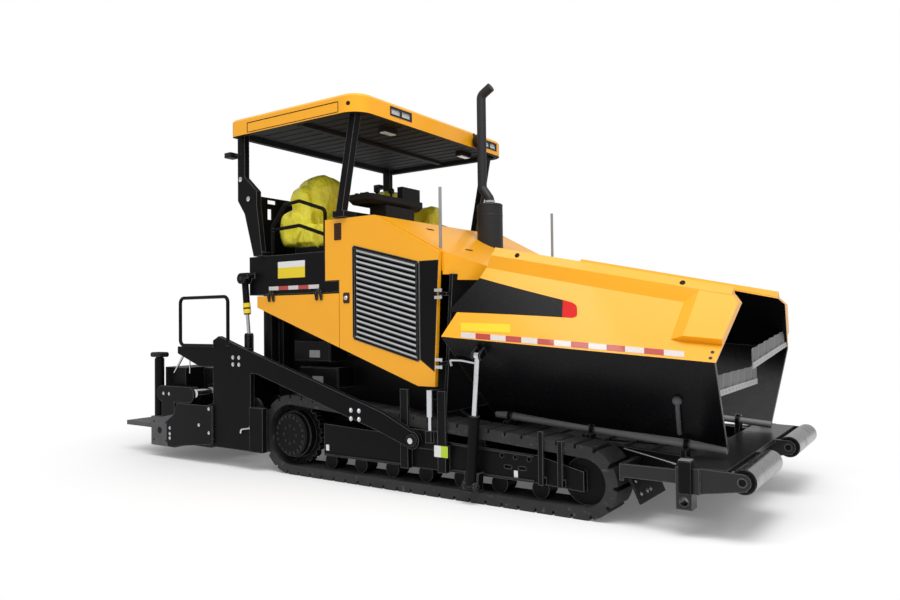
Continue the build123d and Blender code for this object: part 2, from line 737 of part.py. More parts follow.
def main_frame():
    """Welded frame: two side plates, a keel plate, cross beams, engine bearers and the wings' lugs."""
    rail_x = WING_HINGE_X - HOPPER_RAIL_TAIL
    outline = [
        (FRAME_TAIL_X, KEEL_Z),
        (FRAME_TAIL_X, PLATFORM_BASE_Z),
        (HOOD_REAR_X, PLATFORM_BASE_Z),
        (HOOD_REAR_X, ENGINE_BAY_TOP_Z),
        (back_wall_x(ENGINE_BAY_TOP_Z), ENGINE_BAY_TOP_Z),
        (back_wall_x(BACK_WALL_FOOT_Z), BACK_WALL_FOOT_Z),
        (rail_x, wing_line_z(rail_x) - HOPPER_RAIL_DROP),
        (FRAME_NOSE_X, wing_line_z(FRAME_NOSE_X) - HOPPER_RAIL_DROP),
        (FRAME_NOSE_X, KEEL_Z),
    ]
    side = plate_xz(outline, SIDE_PLATE_INNER_Y, SIDE_PLATE_OUTER_Y)
    for lug in wing_lugs():
        side += lug
    frame = side + across(side)
    inside = (-SIDE_PLATE_INNER_Y, SIDE_PLATE_INNER_Y)
    frame += block((FRAME_TAIL_X, FRAME_NOSE_X), inside, (KEEL_Z, KEEL_Z + KEEL_PLATE))
    for x in BEARER_XS:
        frame += block((x, x + BEARER_PLATE), inside, (TUNNEL_TOP_Z, BEARER_TOP_Z))
    frame += block((FRAME_TAIL_X, FRAME_TAIL_X + BEARER_PLATE), inside, (TUNNEL_TOP_Z, PLATFORM_BASE_Z))
    for x in CROSS_BEAM_XS:
        reach = (-FRAME_INNER_Y, FRAME_INNER_Y)
        beam_top = KEEL_Z + KEEL_PLATE
        frame += block((x, x + CROSS_BEAM_LENGTH), reach, (beam_top - CROSS_BEAM_HEIGHT, beam_top))
    return frame


def conveyor():
    """Two drag conveyor lanes on the keel, each a deck with its slat bars."""
    half = CONVEYOR_LANE_WIDTH / 2
    lane_y = (CONVEYOR_LANE_Y - half, CONVEYOR_LANE_Y + half)
    lane = block((CONVEYOR_TAIL_X, CONVEYOR_NOSE_X), lane_y, (KEEL_Z + KEEL_PLATE, CONVEYOR_TOP_Z))
    count = int((CONVEYOR_NOSE_X - CONVEYOR_TAIL_X) / CONVEYOR_SLAT_PITCH)
    for index in range(count):
        x = CONVEYOR_TAIL_X + (index + 0.5) * CONVEYOR_SLAT_PITCH
        lane += block((x, x + CONVEYOR_SLAT), lane_y, (CONVEYOR_TOP_Z, CONVEYOR_TOP_Z + CONVEYOR_SLAT))
    return pair(lane)


def door_hinge_frame(z):
    """Frame of one engine door hinge on the left, Z up the door's hinge line, X forward."""
    return Location((DOOR_AXIS_X, DOOR_AXIS_Y, z)) * Rot(0, 0, -90)


def back_wall():
    """Hopper back wall, leaning forward, with the eyes of the engine doors' hinges."""
    outline = [
        (BACK_WALL_FOOT_X, BACK_WALL_FOOT_Z),
        (BACK_WALL_FOOT_X + BACK_WALL_PLATE, BACK_WALL_FOOT_Z),
        (BACK_WALL_TOP_X + BACK_WALL_PLATE, BACK_WALL_TOP_Z),
        (BACK_WALL_TOP_X, BACK_WALL_TOP_Z),
    ]
    wall = plate_xz(outline, -BACK_WALL_HALF_WIDTH, BACK_WALL_HALF_WIDTH)
    for z in DOOR_HINGE_ZS:
        eye = hinge_eye(door_hinge_frame(z), DOOR_AXIS_Y - BACK_WALL_HALF_WIDTH + HINGE_STRAP)
        eye += block(
            (DOOR_AXIS_X - HINGE_STRAP / 2, back_wall_x(z) + BACK_WALL_PLATE / 2),
            (BACK_WALL_HALF_WIDTH - HINGE_STRAP, BACK_WALL_HALF_WIDTH),
            (z - HINGE_EYE_LENGTH / 2, z + HINGE_EYE_LENGTH / 2),
        )
        wall += eye
        wall += across(eye)
    return wall


def side_box(x, z):
    """Box bolted to the frame's left side plate, its outer edges bevelled."""
    box = block(x, (SIDE_PLATE_OUTER_Y + SEAT_GAP, SIDE_BOX_OUTER_Y), z)
    return chamfer(box.faces().sort_by(Axis.Y)[-1].edges(), SIDE_BOX_BEVEL)


# Engine, hood, doors and flaps


def engine():
    """Engine and pump group as one block on its bearers."""
    return block(ENGINE_X, (-ENGINE_HALF_WIDTH, ENGINE_HALF_WIDTH), (BEARER_TOP_Z, ENGINE_TOP_Z))


def hood():
    """Bent hood, open at the sides for the doors, its nose tapered between the wings."""
    outline = [
        (HOOD_REAR_X, PLATFORM_BASE_Z),
        (HOOD_REAR_X, HOOD_TOP_Z),
        (HOOD_PEAK_X, HOOD_TOP_Z),
        (HOOD_SHOULDER_X, HOOD_SHOULDER_Z),
        (HOOD_NOSE_X, HOOD_NOSE_Z),
        (BACK_WALL_TOP_X + BACK_WALL_PLATE, BACK_WALL_TOP_Z),
        (BACK_WALL_TOP_X, BACK_WALL_TOP_Z),
        (HOOD_REAR_X + 2 * HOOD_WALL, PLATFORM_BASE_Z),
    ]
    face = make_face(Polyline(*outline, close=True))
    ring = face - offset(face, amount=-HOOD_WALL)
    floor_cut = [
        (HOOD_REAR_X + HOOD_WALL, PLATFORM_BASE_Z - HOOD_WALL),
        (HOOD_REAR_X + HOOD_WALL, DOOR_STEP_Z),
        (BACK_WALL_TOP_X - 2 * HOOD_WALL, BACK_WALL_TOP_Z + 2 * HOOD_WALL),
        (BACK_WALL_TOP_X - 2 * HOOD_WALL, PLATFORM_BASE_Z - HOOD_WALL),
    ]
    ring -= make_face(Polyline(*floor_cut, close=True))
    shell = Pos(0, HOOD_HALF_WIDTH, 0) * extrude(Plane.XZ * ring, amount=2 * HOOD_HALF_WIDTH)
    taper = [
        (HOOD_SHOULDER_X, HOOD_HALF_WIDTH),
        (HOOD_NOSE_X, HOOD_NOSE_HALF_WIDTH),
        (HOOD_NOSE_X, HOOD_HALF_WIDTH),
    ]
    wedge = extrude(make_face(Polyline(*taper, close=True)), amount=HOOD_TOP_Z)
    shell = shell - wedge - across(wedge)
    side = fascia()
    return shell + side + across(side)


def fascia():
    """Upright wall along the left taper of the hood's nose, under the sloping top."""
    plan = [
        (HOOD_SHOULDER_X - HOOD_WALL, HOOD_HALF_WIDTH),
        (HOOD_SHOULDER_X, HOOD_HALF_WIDTH),
        (HOOD_NOSE_X, HOOD_NOSE_HALF_WIDTH),
        (HOOD_NOSE_X - HOOD_WALL, HOOD_NOSE_HALF_WIDTH),
        (HOOD_SHOULDER_X - HOOD_WALL, HOOD_HALF_WIDTH - HOOD_WALL),
    ]
    foot = Pos(0, 0, FASCIA_LOW_Z) * make_face(Polyline(*plan, close=True))
    wall = extrude(foot, amount=HOOD_TOP_Z - FASCIA_LOW_Z)
    under = [
        (back_wall_x(FASCIA_LOW_Z) + BACK_WALL_PLATE + SEAT_GAP, FASCIA_LOW_Z),
        (HOOD_NOSE_X, FASCIA_LOW_Z),
        (HOOD_NOSE_X, HOOD_NOSE_Z),
        (HOOD_SHOULDER_X, HOOD_SHOULDER_Z),
        (HOOD_SHOULDER_X - HOOD_WALL, HOOD_SHOULDER_Z),
        (HOOD_SHOULDER_X - HOOD_WALL, BACK_WALL_TOP_Z + HOOD_WALL),
        (back_wall_x(BACK_WALL_TOP_Z) + BACK_WALL_PLATE + SEAT_GAP, BACK_WALL_TOP_Z),
    ]
    return wall & plate_xz(under, 0, HOOD_HALF_WIDTH)


def panel_low_z(x):
    """Sloping lower edge that the flap and the engine door share."""
    slope = (DOOR_LOW_Z - FLAP_REAR_LOW_Z) / (DOOR_TIP_X - FLAP_REAR_X)
    return FLAP_REAR_LOW_Z + slope * (x - FLAP_REAR_X)


def louvre_z(x, share):
    """Height inside the louvre field at a share of its height."""
    along = (x - LOUVRE_REAR_X) / (LOUVRE_FRONT_X - LOUVRE_REAR_X)
    low = LOUVRE_REAR_Z[0] + along * (LOUVRE_FRONT_Z[0] - LOUVRE_REAR_Z[0])
    high = LOUVRE_REAR_Z[1] + along * (LOUVRE_FRONT_Z[1] - LOUVRE_REAR_Z[1])
    return low + share * (high - low)


def engine_door():
    """Left engine door: a panel with a louvre window and hinge straps on its front edge."""
    outline = [
        (DOOR_REAR_X, DOOR_STEP_Z),
        (DOOR_REAR_X, HOOD_TOP_Z),
        (HOOD_PEAK_X, HOOD_TOP_Z),
        (DOOR_FRONT_TOP_X, HOOD_SHOULDER_Z),
        (DOOR_FRONT_LOW_X, DOOR_LOW_Z),
        (DOOR_TIP_X, DOOR_LOW_Z),
        (DOOR_SPLIT_X, panel_low_z(DOOR_SPLIT_X)),
        (DOOR_SPLIT_X, DOOR_STEP_Z),
    ]
    door = plate_xz(outline, PANEL_INNER_Y, PANEL_OUTER_Y)
    window = [(x, louvre_z(x, share)) for x, share in louvre_corners()]
    door -= plate_xz(window, PANEL_INNER_Y - MOVE_GAP, PANEL_OUTER_Y + MOVE_GAP)
    for z in DOOR_HINGE_ZS:
        door += hinge_pin(door_hinge_frame(z))
        reach_x = (DOOR_AXIS_X - DOOR_STRAP_LENGTH, DOOR_AXIS_X)
        for side in (-1, 1):
            middle = z + side * knuckle_offset()
            strap_z = (middle - HINGE_KNUCKLE / 2, middle + HINGE_KNUCKLE / 2)
            door += block(reach_x, (PANEL_OUTER_Y - HINGE_STRAP / 2, PANEL_OUTER_Y + HINGE_STRAP), strap_z)
    return door


def louvre_corners():
    """Corners of the louvre window as a place along it and a share of its height."""
    return [(LOUVRE_REAR_X, 0), (LOUVRE_REAR_X, 1), (LOUVRE_FRONT_X, 1), (LOUVRE_FRONT_X, 0)]


def louvre():
    """Left louvre: sloping slats between two uprights, filling the door's window."""
    upright = LOUVRE_SLAT_THICK
    grille = None
    for index in range(LOUVRE_SLATS):
        low = index / LOUVRE_SLATS
        high = low + LOUVRE_SLAT_SHARE / LOUVRE_SLATS
        corners = [(LOUVRE_REAR_X, low), (LOUVRE_REAR_X, high), (LOUVRE_FRONT_X, high), (LOUVRE_FRONT_X, low)]
        points = [(x, louvre_z(x, share)) for x, share in corners]
        slat = plate_xz(points, PANEL_OUTER_Y - LOUVRE_SLAT_THICK, PANEL_OUTER_Y)
        grille = slat if grille is None else grille + slat
    for x in (LOUVRE_REAR_X, LOUVRE_FRONT_X - upright):
        corners = [(x, 0), (x, 1), (x + upright, 1), (x + upright, 0)]
        points = [(px, louvre_z(px, share)) for px, share in corners]
        grille += plate_xz(points, PANEL_INNER_Y, PANEL_OUTER_Y)
    return grille


def flap_hinge_frame(x):
    """Frame of one flap hinge on the left: Z along the hinge line, X up."""
    return Plane(origin=(x, FLAP_AXIS_Y, FLAP_AXIS_Z), x_dir=(0, 0, 1), z_dir=(1, 0, 0))


def flap_strap_outline():
    """Section of a strap that leaves the flap's face and turns up into its knuckle."""
    face = PANEL_OUTER_Y - HINGE_STRAP / 2
    return [
        (face, FLAP_TOP_Z - FLAP_STRAP_LENGTH),
        (PANEL_OUTER_Y + HINGE_STRAP, FLAP_TOP_Z - FLAP_STRAP_LENGTH),
        (FLAP_AXIS_Y + HINGE_EYE_R / 2, FLAP_AXIS_Z - HINGE_EYE_R / 2),
        (FLAP_AXIS_Y, FLAP_AXIS_Z),
        (face, FLAP_TOP_Z - HINGE_EYE_R),
    ]


def flap():
    """Left lower flap: the triangular panel behind the engine door, hung from its top edge."""
    front_x = DOOR_SPLIT_X - DOOR_GAP
    outline = [
        (FLAP_REAR_X, FLAP_REAR_LOW_Z),
        (FLAP_REAR_X, FLAP_TOP_Z),
        (front_x, FLAP_TOP_Z),
        (front_x, panel_low_z(front_x)),
    ]
    panel = plate_xz(outline, PANEL_INNER_Y, PANEL_OUTER_Y)
    for x in FLAP_HINGE_XS:
        panel += hinge_pin(flap_hinge_frame(x))
        for side in (-1, 1):
            middle = x + side * knuckle_offset()
            strap_x = (middle - HINGE_KNUCKLE / 2, middle + HINGE_KNUCKLE / 2)
            panel += plate_yz(flap_strap_outline(), *strap_x)
    return panel


# Operator platform, seats, rails and roof


def platform():
    """Platform tub: a thick floor, side boxes and a rear wall, with the flaps' hinge eyes below."""
    tub = block(
        (PLATFORM_REAR_X, HOOD_REAR_X),
        (-PLATFORM_HALF_WIDTH, PLATFORM_HALF_WIDTH),
        (PLATFORM_BASE_Z, PLATFORM_SIDE_Z),
    )
    well_y = PLATFORM_HALF_WIDTH - PLATFORM_SIDE_WALL
    tub -= block(
        (PLATFORM_REAR_X + PLATFORM_REAR_WALL, HOOD_REAR_X + HOOD_WALL),
        (-well_y, well_y),
        (PLATFORM_FLOOR_Z, PLATFORM_SIDE_Z + HOOD_WALL),
    )
    for x in FLAP_HINGE_XS:
        eye = hinge_eye(flap_hinge_frame(x), HINGE_EYE_R + 2 * HINGE_STRAP)
        eye += block(
            (x - HINGE_EYE_LENGTH / 2, x + HINGE_EYE_LENGTH / 2),
            (PLATFORM_HALF_WIDTH - HINGE_STRAP, FLAP_AXIS_Y),
            (FLAP_AXIS_Z + HINGE_EYE_R, FLAP_AXIS_Z + HINGE_EYE_R + 2 * HINGE_STRAP),
        )
        tub += eye
        tub += across(eye)
    sill = block(
        (HOOD_REAR_X, DOOR_SPLIT_X - DOOR_GAP),
        (HOOD_HALF_WIDTH + SEAT_GAP, PLATFORM_HALF_WIDTH),
        (PLATFORM_BASE_Z, DOOR_STEP_Z - DOOR_GAP),
    )
    for extra in (*lift_lugs(), seat_pedestal(), sill):
        tub += extra
        tub += across(extra)
    return tub


def lift_lugs():
    """Ears on the platform's rear corner that carry a lift cylinder's head."""
    lugs = []
    for side in (-1, 1):
        middle = LIFT_Y + side * (LIFT_BARREL_R + MOVE_GAP + CLEVIS_PLATE / 2)
        y = (middle - CLEVIS_PLATE / 2, middle + CLEVIS_PLATE / 2)
        lug = cross_bar(LIFT_TOP_X, LIFT_TOP_Z, y, 2 * LIFT_EYE_R)
        root_x = (LIFT_TOP_X, PLATFORM_REAR_X + 3 * LIFT_EYE_R)
        lug += block(root_x, y, (LIFT_TOP_Z, LIFT_TOP_Z + 2 * LIFT_EYE_R))
        lug -= cross_bar(LIFT_TOP_X, LIFT_TOP_Z, y, LIFT_PIN_R + RUN_FIT, CUT_PAST)
        lugs.append(lug)
    bridge = block(
        (PLATFORM_REAR_X + LIFT_EYE_R, PLATFORM_REAR_X + 3 * LIFT_EYE_R),
        (PLATFORM_HALF_WIDTH - CLEVIS_PLATE, middle),
        (LIFT_TOP_Z + LIFT_BARREL_R + MOVE_GAP, LIFT_TOP_Z + LIFT_BARREL_R + MOVE_GAP + CLEVIS_PLATE),
    )
    lugs.append(bridge)
    return lugs


def seat():
    """Left seat: cushion and raked back as one padded form."""
    front = SEAT_X + SEAT_DEPTH / 2
    rear = SEAT_X - SEAT_DEPTH / 2
    outline = [
        (front, SEAT_BASE_Z),
        (front, SEAT_CUSHION_Z),
        (rear + SEAT_BACK_FOOT, SEAT_CUSHION_Z),
        (rear + SEAT_BACK_TOP, SEAT_BACK_Z),
        (rear - SEAT_BACK_LEAN, SEAT_BACK_Z),
        (rear, SEAT_BASE_Z),
    ]
    half = SEAT_WIDTH / 2
    body = plate_xz(outline, SEAT_Y - half, SEAT_Y + half)
    return fillet(body.edges().filter_by(Axis.Y), SEAT_ROUND)


def seat_pedestal():
    """Left seat's pedestal on the platform floor."""
    half = SEAT_WIDTH / 2 - SEAT_PEDESTAL_INSET
    foot_x = (SEAT_X - half, SEAT_X + half)
    return block(foot_x, (SEAT_Y - half, SEAT_Y + half), (PLATFORM_FLOOR_Z, SEAT_BASE_Z))


def console():
    """Control desk: a pedestal, an oblong tray and a display box on its left."""
    front_x = HOOD_REAR_X - SEAT_GAP
    pedestal_x = (front_x - DESK_PEDESTAL_DEPTH, front_x)
    desk = block(pedestal_x, DESK_PEDESTAL_Y, (PLATFORM_FLOOR_Z, DESK_TRAY_Z[0]))
    tray_y = (DESK_TRAY_Y[0] + DESK_TRAY_Y[1]) / 2
    tray = RectangleRounded(DESK_TRAY_DEPTH, DESK_TRAY_Y[1] - DESK_TRAY_Y[0], DESK_TRAY_CORNER)
    tray_x = front_x - DESK_TRAY_DEPTH / 2
    tray = Pos(tray_x, tray_y, DESK_TRAY_Z[0]) * extrude(tray, amount=DESK_TRAY_Z[1] - DESK_TRAY_Z[0])
    tray = chamfer(tray.faces().sort_by(Axis.Z)[0].edges(), DESK_TRAY_BEVEL)
    display_x = (front_x - DISPLAY_DEPTH - DISPLAY_SETBACK, front_x - DISPLAY_SETBACK)
    return desk + tray + block(display_x, DISPLAY_Y, (DESK_TRAY_Z[1], DISPLAY_TOP_Z))


def rails():
    """Left side handrail on the platform's side box: a hoop and a middle bar, bent at the same place."""
    y = PLATFORM_HALF_WIDTH - PLATFORM_SIDE_WALL / 2
    rear_x = PLATFORM_REAR_X + RAIL_REAR_INSET
    front_x = HOOD_REAR_X - RAIL_FRONT_INSET
    hoop = [
        (rear_x, y, PLATFORM_SIDE_Z),
        (rear_x, y, RAIL_MIDDLE_Z + RAIL_CORNER_RISE),
        (RAIL_PEAK_X - RAIL_SHOULDER, y, RAIL_TOP_Z - RAIL_R),
        (RAIL_PEAK_X, y, RAIL_TOP_Z),
        (front_x, y, RAIL_TOP_Z - RAIL_FALL),
        (front_x, y, PLATFORM_SIDE_Z),
    ]
    middle = [
        (rear_x, y, RAIL_MIDDLE_Z),
        (RAIL_PEAK_X, y, RAIL_MIDDLE_Z + RAIL_R),
        (front_x, y, RAIL_MIDDLE_Z + RAIL_R - RAIL_FALL),
    ]
    return bent_tube(hoop, RAIL_R, RAIL_BEND) + bent_tube(middle, RAIL_R, RAIL_BEND)


def guard():
    """Rear guard panel behind the seats, with a slot and a window cut near each end."""
    half = PLATFORM_HALF_WIDTH - PLATFORM_SIDE_WALL
    x = (PLATFORM_REAR_X + PLATFORM_REAR_WALL - GUARD_PLATE, PLATFORM_REAR_X + PLATFORM_REAR_WALL)
    panel = block(x, (-half, half), (PLATFORM_SIDE_Z, GUARD_TOP_Z))
    through_x = (x[0] - CUT_PAST, x[1] + CUT_PAST)
    for y, z in ((GUARD_SLOT_Y, GUARD_SLOT_Z), (GUARD_WINDOW_Y, GUARD_WINDOW_Z)):
        opening = block(through_x, y, z)
        panel = panel - opening - across(opening)
    return panel


def roof_outline(inset):
    """Roof plan with round corners, wide ones in front, drawn in by an inset."""
    half = ROOF_HALF_WIDTH - inset
    front = ROOF_FRONT_X - inset
    rear = ROOF_REAR_X + inset
    plan = Pos((front + rear) / 2, 0) * Rectangle(front - rear, 2 * half)
    corners = plan.vertices().sort_by(Axis.X)
    plan = fillet(corners[2:], ROOF_CORNER - inset)
    return fillet(plan.vertices().sort_by(Axis.X)[:2], ROOF_REAR_CORNER - inset / 2)


def roof_shell():
    """Roof shell: bevelled top with a deep rim, open below."""
    shell = Pos(0, 0, ROOF_LOW_Z) * extrude(roof_outline(0), amount=ROOF_TOP_Z - ROOF_LOW_Z)
    shell = chamfer(shell.faces().sort_by(Axis.Z)[-1].edges(), ROOF_EDGE_BEVEL)
    depth = ROOF_TOP_Z - ROOF_SKIN - ROOF_LOW_Z
    shell -= Pos(0, 0, ROOF_LOW_Z) * extrude(roof_outline(ROOF_RIM), amount=depth)
    groove = side_groove()
    shell = shell - groove - across(groove)
    return shell - lamp_recess(LAMP_LEFT_Y, 0) - across(lamp_recess(LAMP_RIGHT_Y, 0))


def lamp_recess(lamp_y, shrink):
    """Pocket for a pair of lamps in the left half of the roof's front rim, drawn in by a gap."""
    return block(
        (ROOF_FRONT_X - LAMP_POCKET, ROOF_FRONT_X + LAMP_POCKET),
        (lamp_y[0] + shrink, lamp_y[1] - shrink),
        (LAMP_Z[0] + shrink, LAMP_Z[1] - shrink),
    )


def side_groove():
    """Pressed line round the panel on the roof's left rim."""
    low, high = GROOVE_Z
    outer = block(GROOVE_X, (ROOF_HALF_WIDTH - GROOVE, ROOF_HALF_WIDTH + GROOVE), GROOVE_Z)
    inner = block(
        (GROOVE_X[0] + GROOVE, GROOVE_X[1] - GROOVE),
        (ROOF_HALF_WIDTH - 2 * GROOVE, ROOF_HALF_WIDTH + 2 * GROOVE),
        (low - GROOVE, high - GROOVE),
    )
    return outer - inner


def roof_lamp(lamp_y):
    """Pair of lamps in one case, seated in its pocket in the left half of the roof."""
    front_x = ROOF_FRONT_X + LAMP_PROUD
    case = lamp_recess(lamp_y, SEAT_GAP) & block((ROOF_FRONT_X - LAMP_POCKET, front_x), lamp_y, LAMP_Z)
    face = (lamp_y[1] - lamp_y[0] - 3 * LAMP_FRAME) / 2
    for index in range(2):
        y = lamp_y[0] + LAMP_FRAME + index * (face + LAMP_FRAME)
        case -= block(
            (front_x - LAMP_DISH, front_x + LAMP_POCKET),
            (y, y + face),
            (LAMP_Z[0] + LAMP_FRAME, LAMP_Z[1] - LAMP_FRAME),
        )
    return case


def roof_liner():
    """Ceiling panel that closes the roof shell."""
    return Pos(0, 0, LINER_LOW_Z) * extrude(roof_outline(ROOF_RIM), amount=LINER_THICK)


def front_post():
    """Left front roof post, raked forward from a foot on the hood that reaches over the engine door."""
    half = POST_WIDTH / 2
    door_top = HOOD_TOP_Z + DOOR_GAP
    outline = [
        (FRONT_POST_FOOT_X - half, door_top),
        (FRONT_POST_FOOT_X + half, door_top),
        (FRONT_POST_TOP_X + half, LINER_LOW_Z),
        (FRONT_POST_TOP_X - half, LINER_LOW_Z),
    ]
    post = plate_xz(outline, FRONT_POST_Y - half, FRONT_POST_Y + half)
    foot_half = FRONT_POST_FOOT_LENGTH / 2
    foot_x = (FRONT_POST_FOOT_X - foot_half, FRONT_POST_FOOT_X + foot_half)
    foot_top = door_top + FRONT_POST_FOOT
    post += block(foot_x, (FRONT_POST_FOOT_Y, FRONT_POST_Y + half), (door_top, foot_top))
    return post + block(foot_x, (FRONT_POST_FOOT_Y, HOOD_HALF_WIDTH), (HOOD_TOP_Z, foot_top))


def rear_post():
    """Left rear roof post with its wide folding plate, on the platform's side box."""
    outline = [
        (REAR_POST_FOOT_X[0], PLATFORM_SIDE_Z),
        (REAR_POST_HEEL_X, REAR_POST_HEEL_Z[0]),
        (REAR_POST_TOP_X[0], REAR_POST_HEEL_Z[1]),
        (REAR_POST_TOP_X[0], ROOF_LOW_Z),
        (ROOF_REAR_X + ROOF_RIM + SEAT_GAP, ROOF_LOW_Z),
        (ROOF_REAR_X + ROOF_RIM + SEAT_GAP, LINER_LOW_Z),
        (REAR_POST_TOP_X[1], LINER_LOW_Z),
        (REAR_POST_TOP_X[1], REAR_POST_NECK_Z),
        (REAR_POST_PLATE_FRONT_X, REAR_POST_PLATE_Z[1]),
        (REAR_POST_PLATE_FRONT_X, REAR_POST_PLATE_Z[0]),
        (REAR_POST_FOOT_X[1], PLATFORM_SIDE_Z),
    ]
    high_y = ROOF_HALF_WIDTH - ROOF_RIM - REAR_POST_INSET
    post = plate_xz(outline, high_y - REAR_POST_THICK, high_y)
    foot_y = (PLATFORM_HALF_WIDTH - PLATFORM_SIDE_WALL, high_y)
    return post + block(REAR_POST_FOOT_X, foot_y, (PLATFORM_SIDE_Z, PLATFORM_SIDE_Z + REAR_POST_FOOT))


# Exhaust and sight poles


def hood_slope():
    """Fall of the hood's front slope."""
    return (HOOD_TOP_Z - HOOD_SHOULDER_Z) / (HOOD_SHOULDER_X - HOOD_PEAK_X)


def standing_bar(x, y, top_z, radius):
    """Upright round bar whose foot is cut to the hood's front slope."""
    low_z = HOOD_SHOULDER_Z + (HOOD_SHOULDER_X - x - radius) * hood_slope()
    below = [
        (HOOD_PEAK_X, HOOD_TOP_Z),
        (HOOD_SHOULDER_X, HOOD_SHOULDER_Z),
        (HOOD_PEAK_X, HOOD_SHOULDER_Z),
    ]
    return rod((x, y, low_z), (x, y, top_z), radius) - plate_xz(below, y - 2 * radius, y + 2 * radius)


def muffler():
    """Muffler can standing on the hood's slope, its top edge bevelled."""
    can = standing_bar(EXHAUST_X, EXHAUST_Y, MUFFLER_TOP_Z, MUFFLER_R)
    return chamfer(can.edges().sort_by(Axis.Z)[-1], MUFFLER_BEVEL)


def exhaust_pipe():
    """Exhaust pipe: a jog back from the muffler, a tall stack and an outlet turned forward."""
    back_x = EXHAUST_X - PIPE_JOG
    points = [
        (EXHAUST_X, EXHAUST_Y, MUFFLER_TOP_Z),
        (EXHAUST_X, EXHAUST_Y, MUFFLER_TOP_Z + PIPE_NECK),
        (back_x, EXHAUST_Y, MUFFLER_TOP_Z + PIPE_NECK + PIPE_JOG_HEIGHT),
        (back_x, EXHAUST_Y, PIPE_TOP_Z - PIPE_OUTLET),
        (back_x + PIPE_OUTLET, EXHAUST_Y, PIPE_TOP_Z - PIPE_R),
    ]
    return bent_tube(points, PIPE_R, PIPE_BEND)


def sight_pole():
    """Left sight pole on the hood's shoulder."""
    return standing_bar(POLE_X, POLE_Y, POLE_TOP_Z, POLE_R)


# Hopper wings and cylinders


def wing_top(along):
    """Top edge of the wing's wall, as a pair out and up, at a place along the hinge."""
    share = (along - WING_TOP_REAR) / (WING_TOP_FRONT - WING_TOP_REAR)
    out = WING_TOP_REAR_OUT + share * (WING_TOP_FRONT_OUT - WING_TOP_REAR_OUT)
    up = WING_TOP_REAR_UP + share * (WING_TOP_FRONT_UP - WING_TOP_REAR_UP)
    return out, up


def thick_line(points, thickness):
    """Closed outline of a bent line given a thickness to its left."""
    inner = []
    last = len(points) - 1
    for index, point in enumerate(points):
        before = Vector(*points[max(index - 1, 0)])
        here = Vector(*point)
        after = Vector(*points[min(index + 1, last)])
        into = (here - before).normalized() if index > 0 else (after - here).normalized()
        out_of = (after - here).normalized() if index < last else into
        side = Vector(-into.Y - out_of.Y, into.X + out_of.X).normalized()
        reach = thickness / side.dot(Vector(-into.Y, into.X))
        moved = here + side * reach
        inner.append((moved.X, moved.Y))
    return [*points, *reversed(inner)]


def wing_section(along):
    """Section across the wing: the floor rising to the knee and the wall leaning in above it."""
    line = [(0, 0), (WING_KNEE_OUT, WING_KNEE_UP), wing_top(along)]
    outline = make_face(Polyline(*thick_line(line, WING_PLATE), close=True))
    return Pos(along, 0, 0) * (Plane.YZ * outline)


def wing():
    """Left hopper wing: floor, knee and wall lofted along the hinge, with its hinge barrel and clevis."""
    body = loft([wing_section(end) for end in wing_ends()], ruled=True)
    side = [
        (0, -2 * WING_LUG_R),
        (WING_KNEE_REAR, WING_KNEE_UP),
        (WING_TOP_REAR, WING_TOP_REAR_UP),
        (WING_TOP_REAR, 2 * WING_TOP_REAR_UP),
        (WING_TOP_FRONT - WING_CUT, 2 * WING_TOP_REAR_UP),
        (WING_TOP_FRONT - WING_CUT, WING_TOP_FRONT_UP),
        (WING_TOP_FRONT, WING_TOP_FRONT_UP - WING_CUT),
        (WING_KNEE_FRONT, WING_KNEE_UP),
        (WING_LENGTH, -2 * WING_LUG_R),
    ]
    body += wing_border()
    body &= plate_xz(side, -2 * WING_KNEE_OUT, 2 * WING_KNEE_OUT)
    body += rod((0, 0, 0), (WING_LENGTH, 0, 0), WING_BARREL_R)
    slot = WING_LUG_WIDTH + 2 * MOVE_GAP
    for along in WING_LUG_AT:
        clear = Rot(0, 90, 0) * (Cylinder(WING_LUG_R + MOVE_GAP, slot) - Cylinder(WING_BARREL_R, slot))
        body -= Pos(along, 0, 0) * clear
    return wing_frame() * body + wing_clevis()


def wing_ends():
    """Places along the hinge between which the wing is lofted before its ends are trimmed."""
    return WING_KNEE_REAR - WING_CUT, WING_TOP_FRONT + WING_CUT


def wall_lines(along):
    """Top of the wing's wall at a place along the hinge, with unit vectors down it and square out of it."""
    top = Vector(*wing_top(along))
    down = (Vector(WING_KNEE_OUT, WING_KNEE_UP) - top).normalized()
    return top, down, Vector(-down.Y, down.X)


def border_section(along, points):
    """Section of the raised border from pairs of a distance down the wall and a height out of it."""
    top, down, out = wall_lines(along)
    places = [top + down * depth + out * height for depth, height in points]
    outline = make_face(Polyline(*[(place.X, place.Y) for place in places], close=True))
    return Pos(along, 0, 0) * (Plane.YZ * outline)


def top_strip(along):
    """Section of the border's top strip, sunk in the wall, its lower side sloping back to it."""
    width = WING_BORDER_TOP
    foot = width + WING_BORDER_SLOPE * (1 + WING_BORDER_SINK / WING_BORDER)
    points = [
        (-WING_BORDER_STEP, -WING_BORDER_SINK),
        (foot, -WING_BORDER_SINK),
        (width, WING_BORDER),
        (-WING_BORDER_STEP, WING_BORDER),
    ]
    return border_section(along, points)


def front_strip(along, height):
    """Section of the border's front strip at a height out of the wall, down to a step above the knee."""
    length = (Vector(WING_KNEE_OUT, WING_KNEE_UP) - Vector(*wing_top(along))).length - WING_BORDER_LOW
    start = WING_BORDER_TOP / 2
    points = [
        (start, -WING_BORDER_SINK),
        (length, -WING_BORDER_SINK),
        (length, height),
        (start, height),
    ]
    return border_section(along, points)


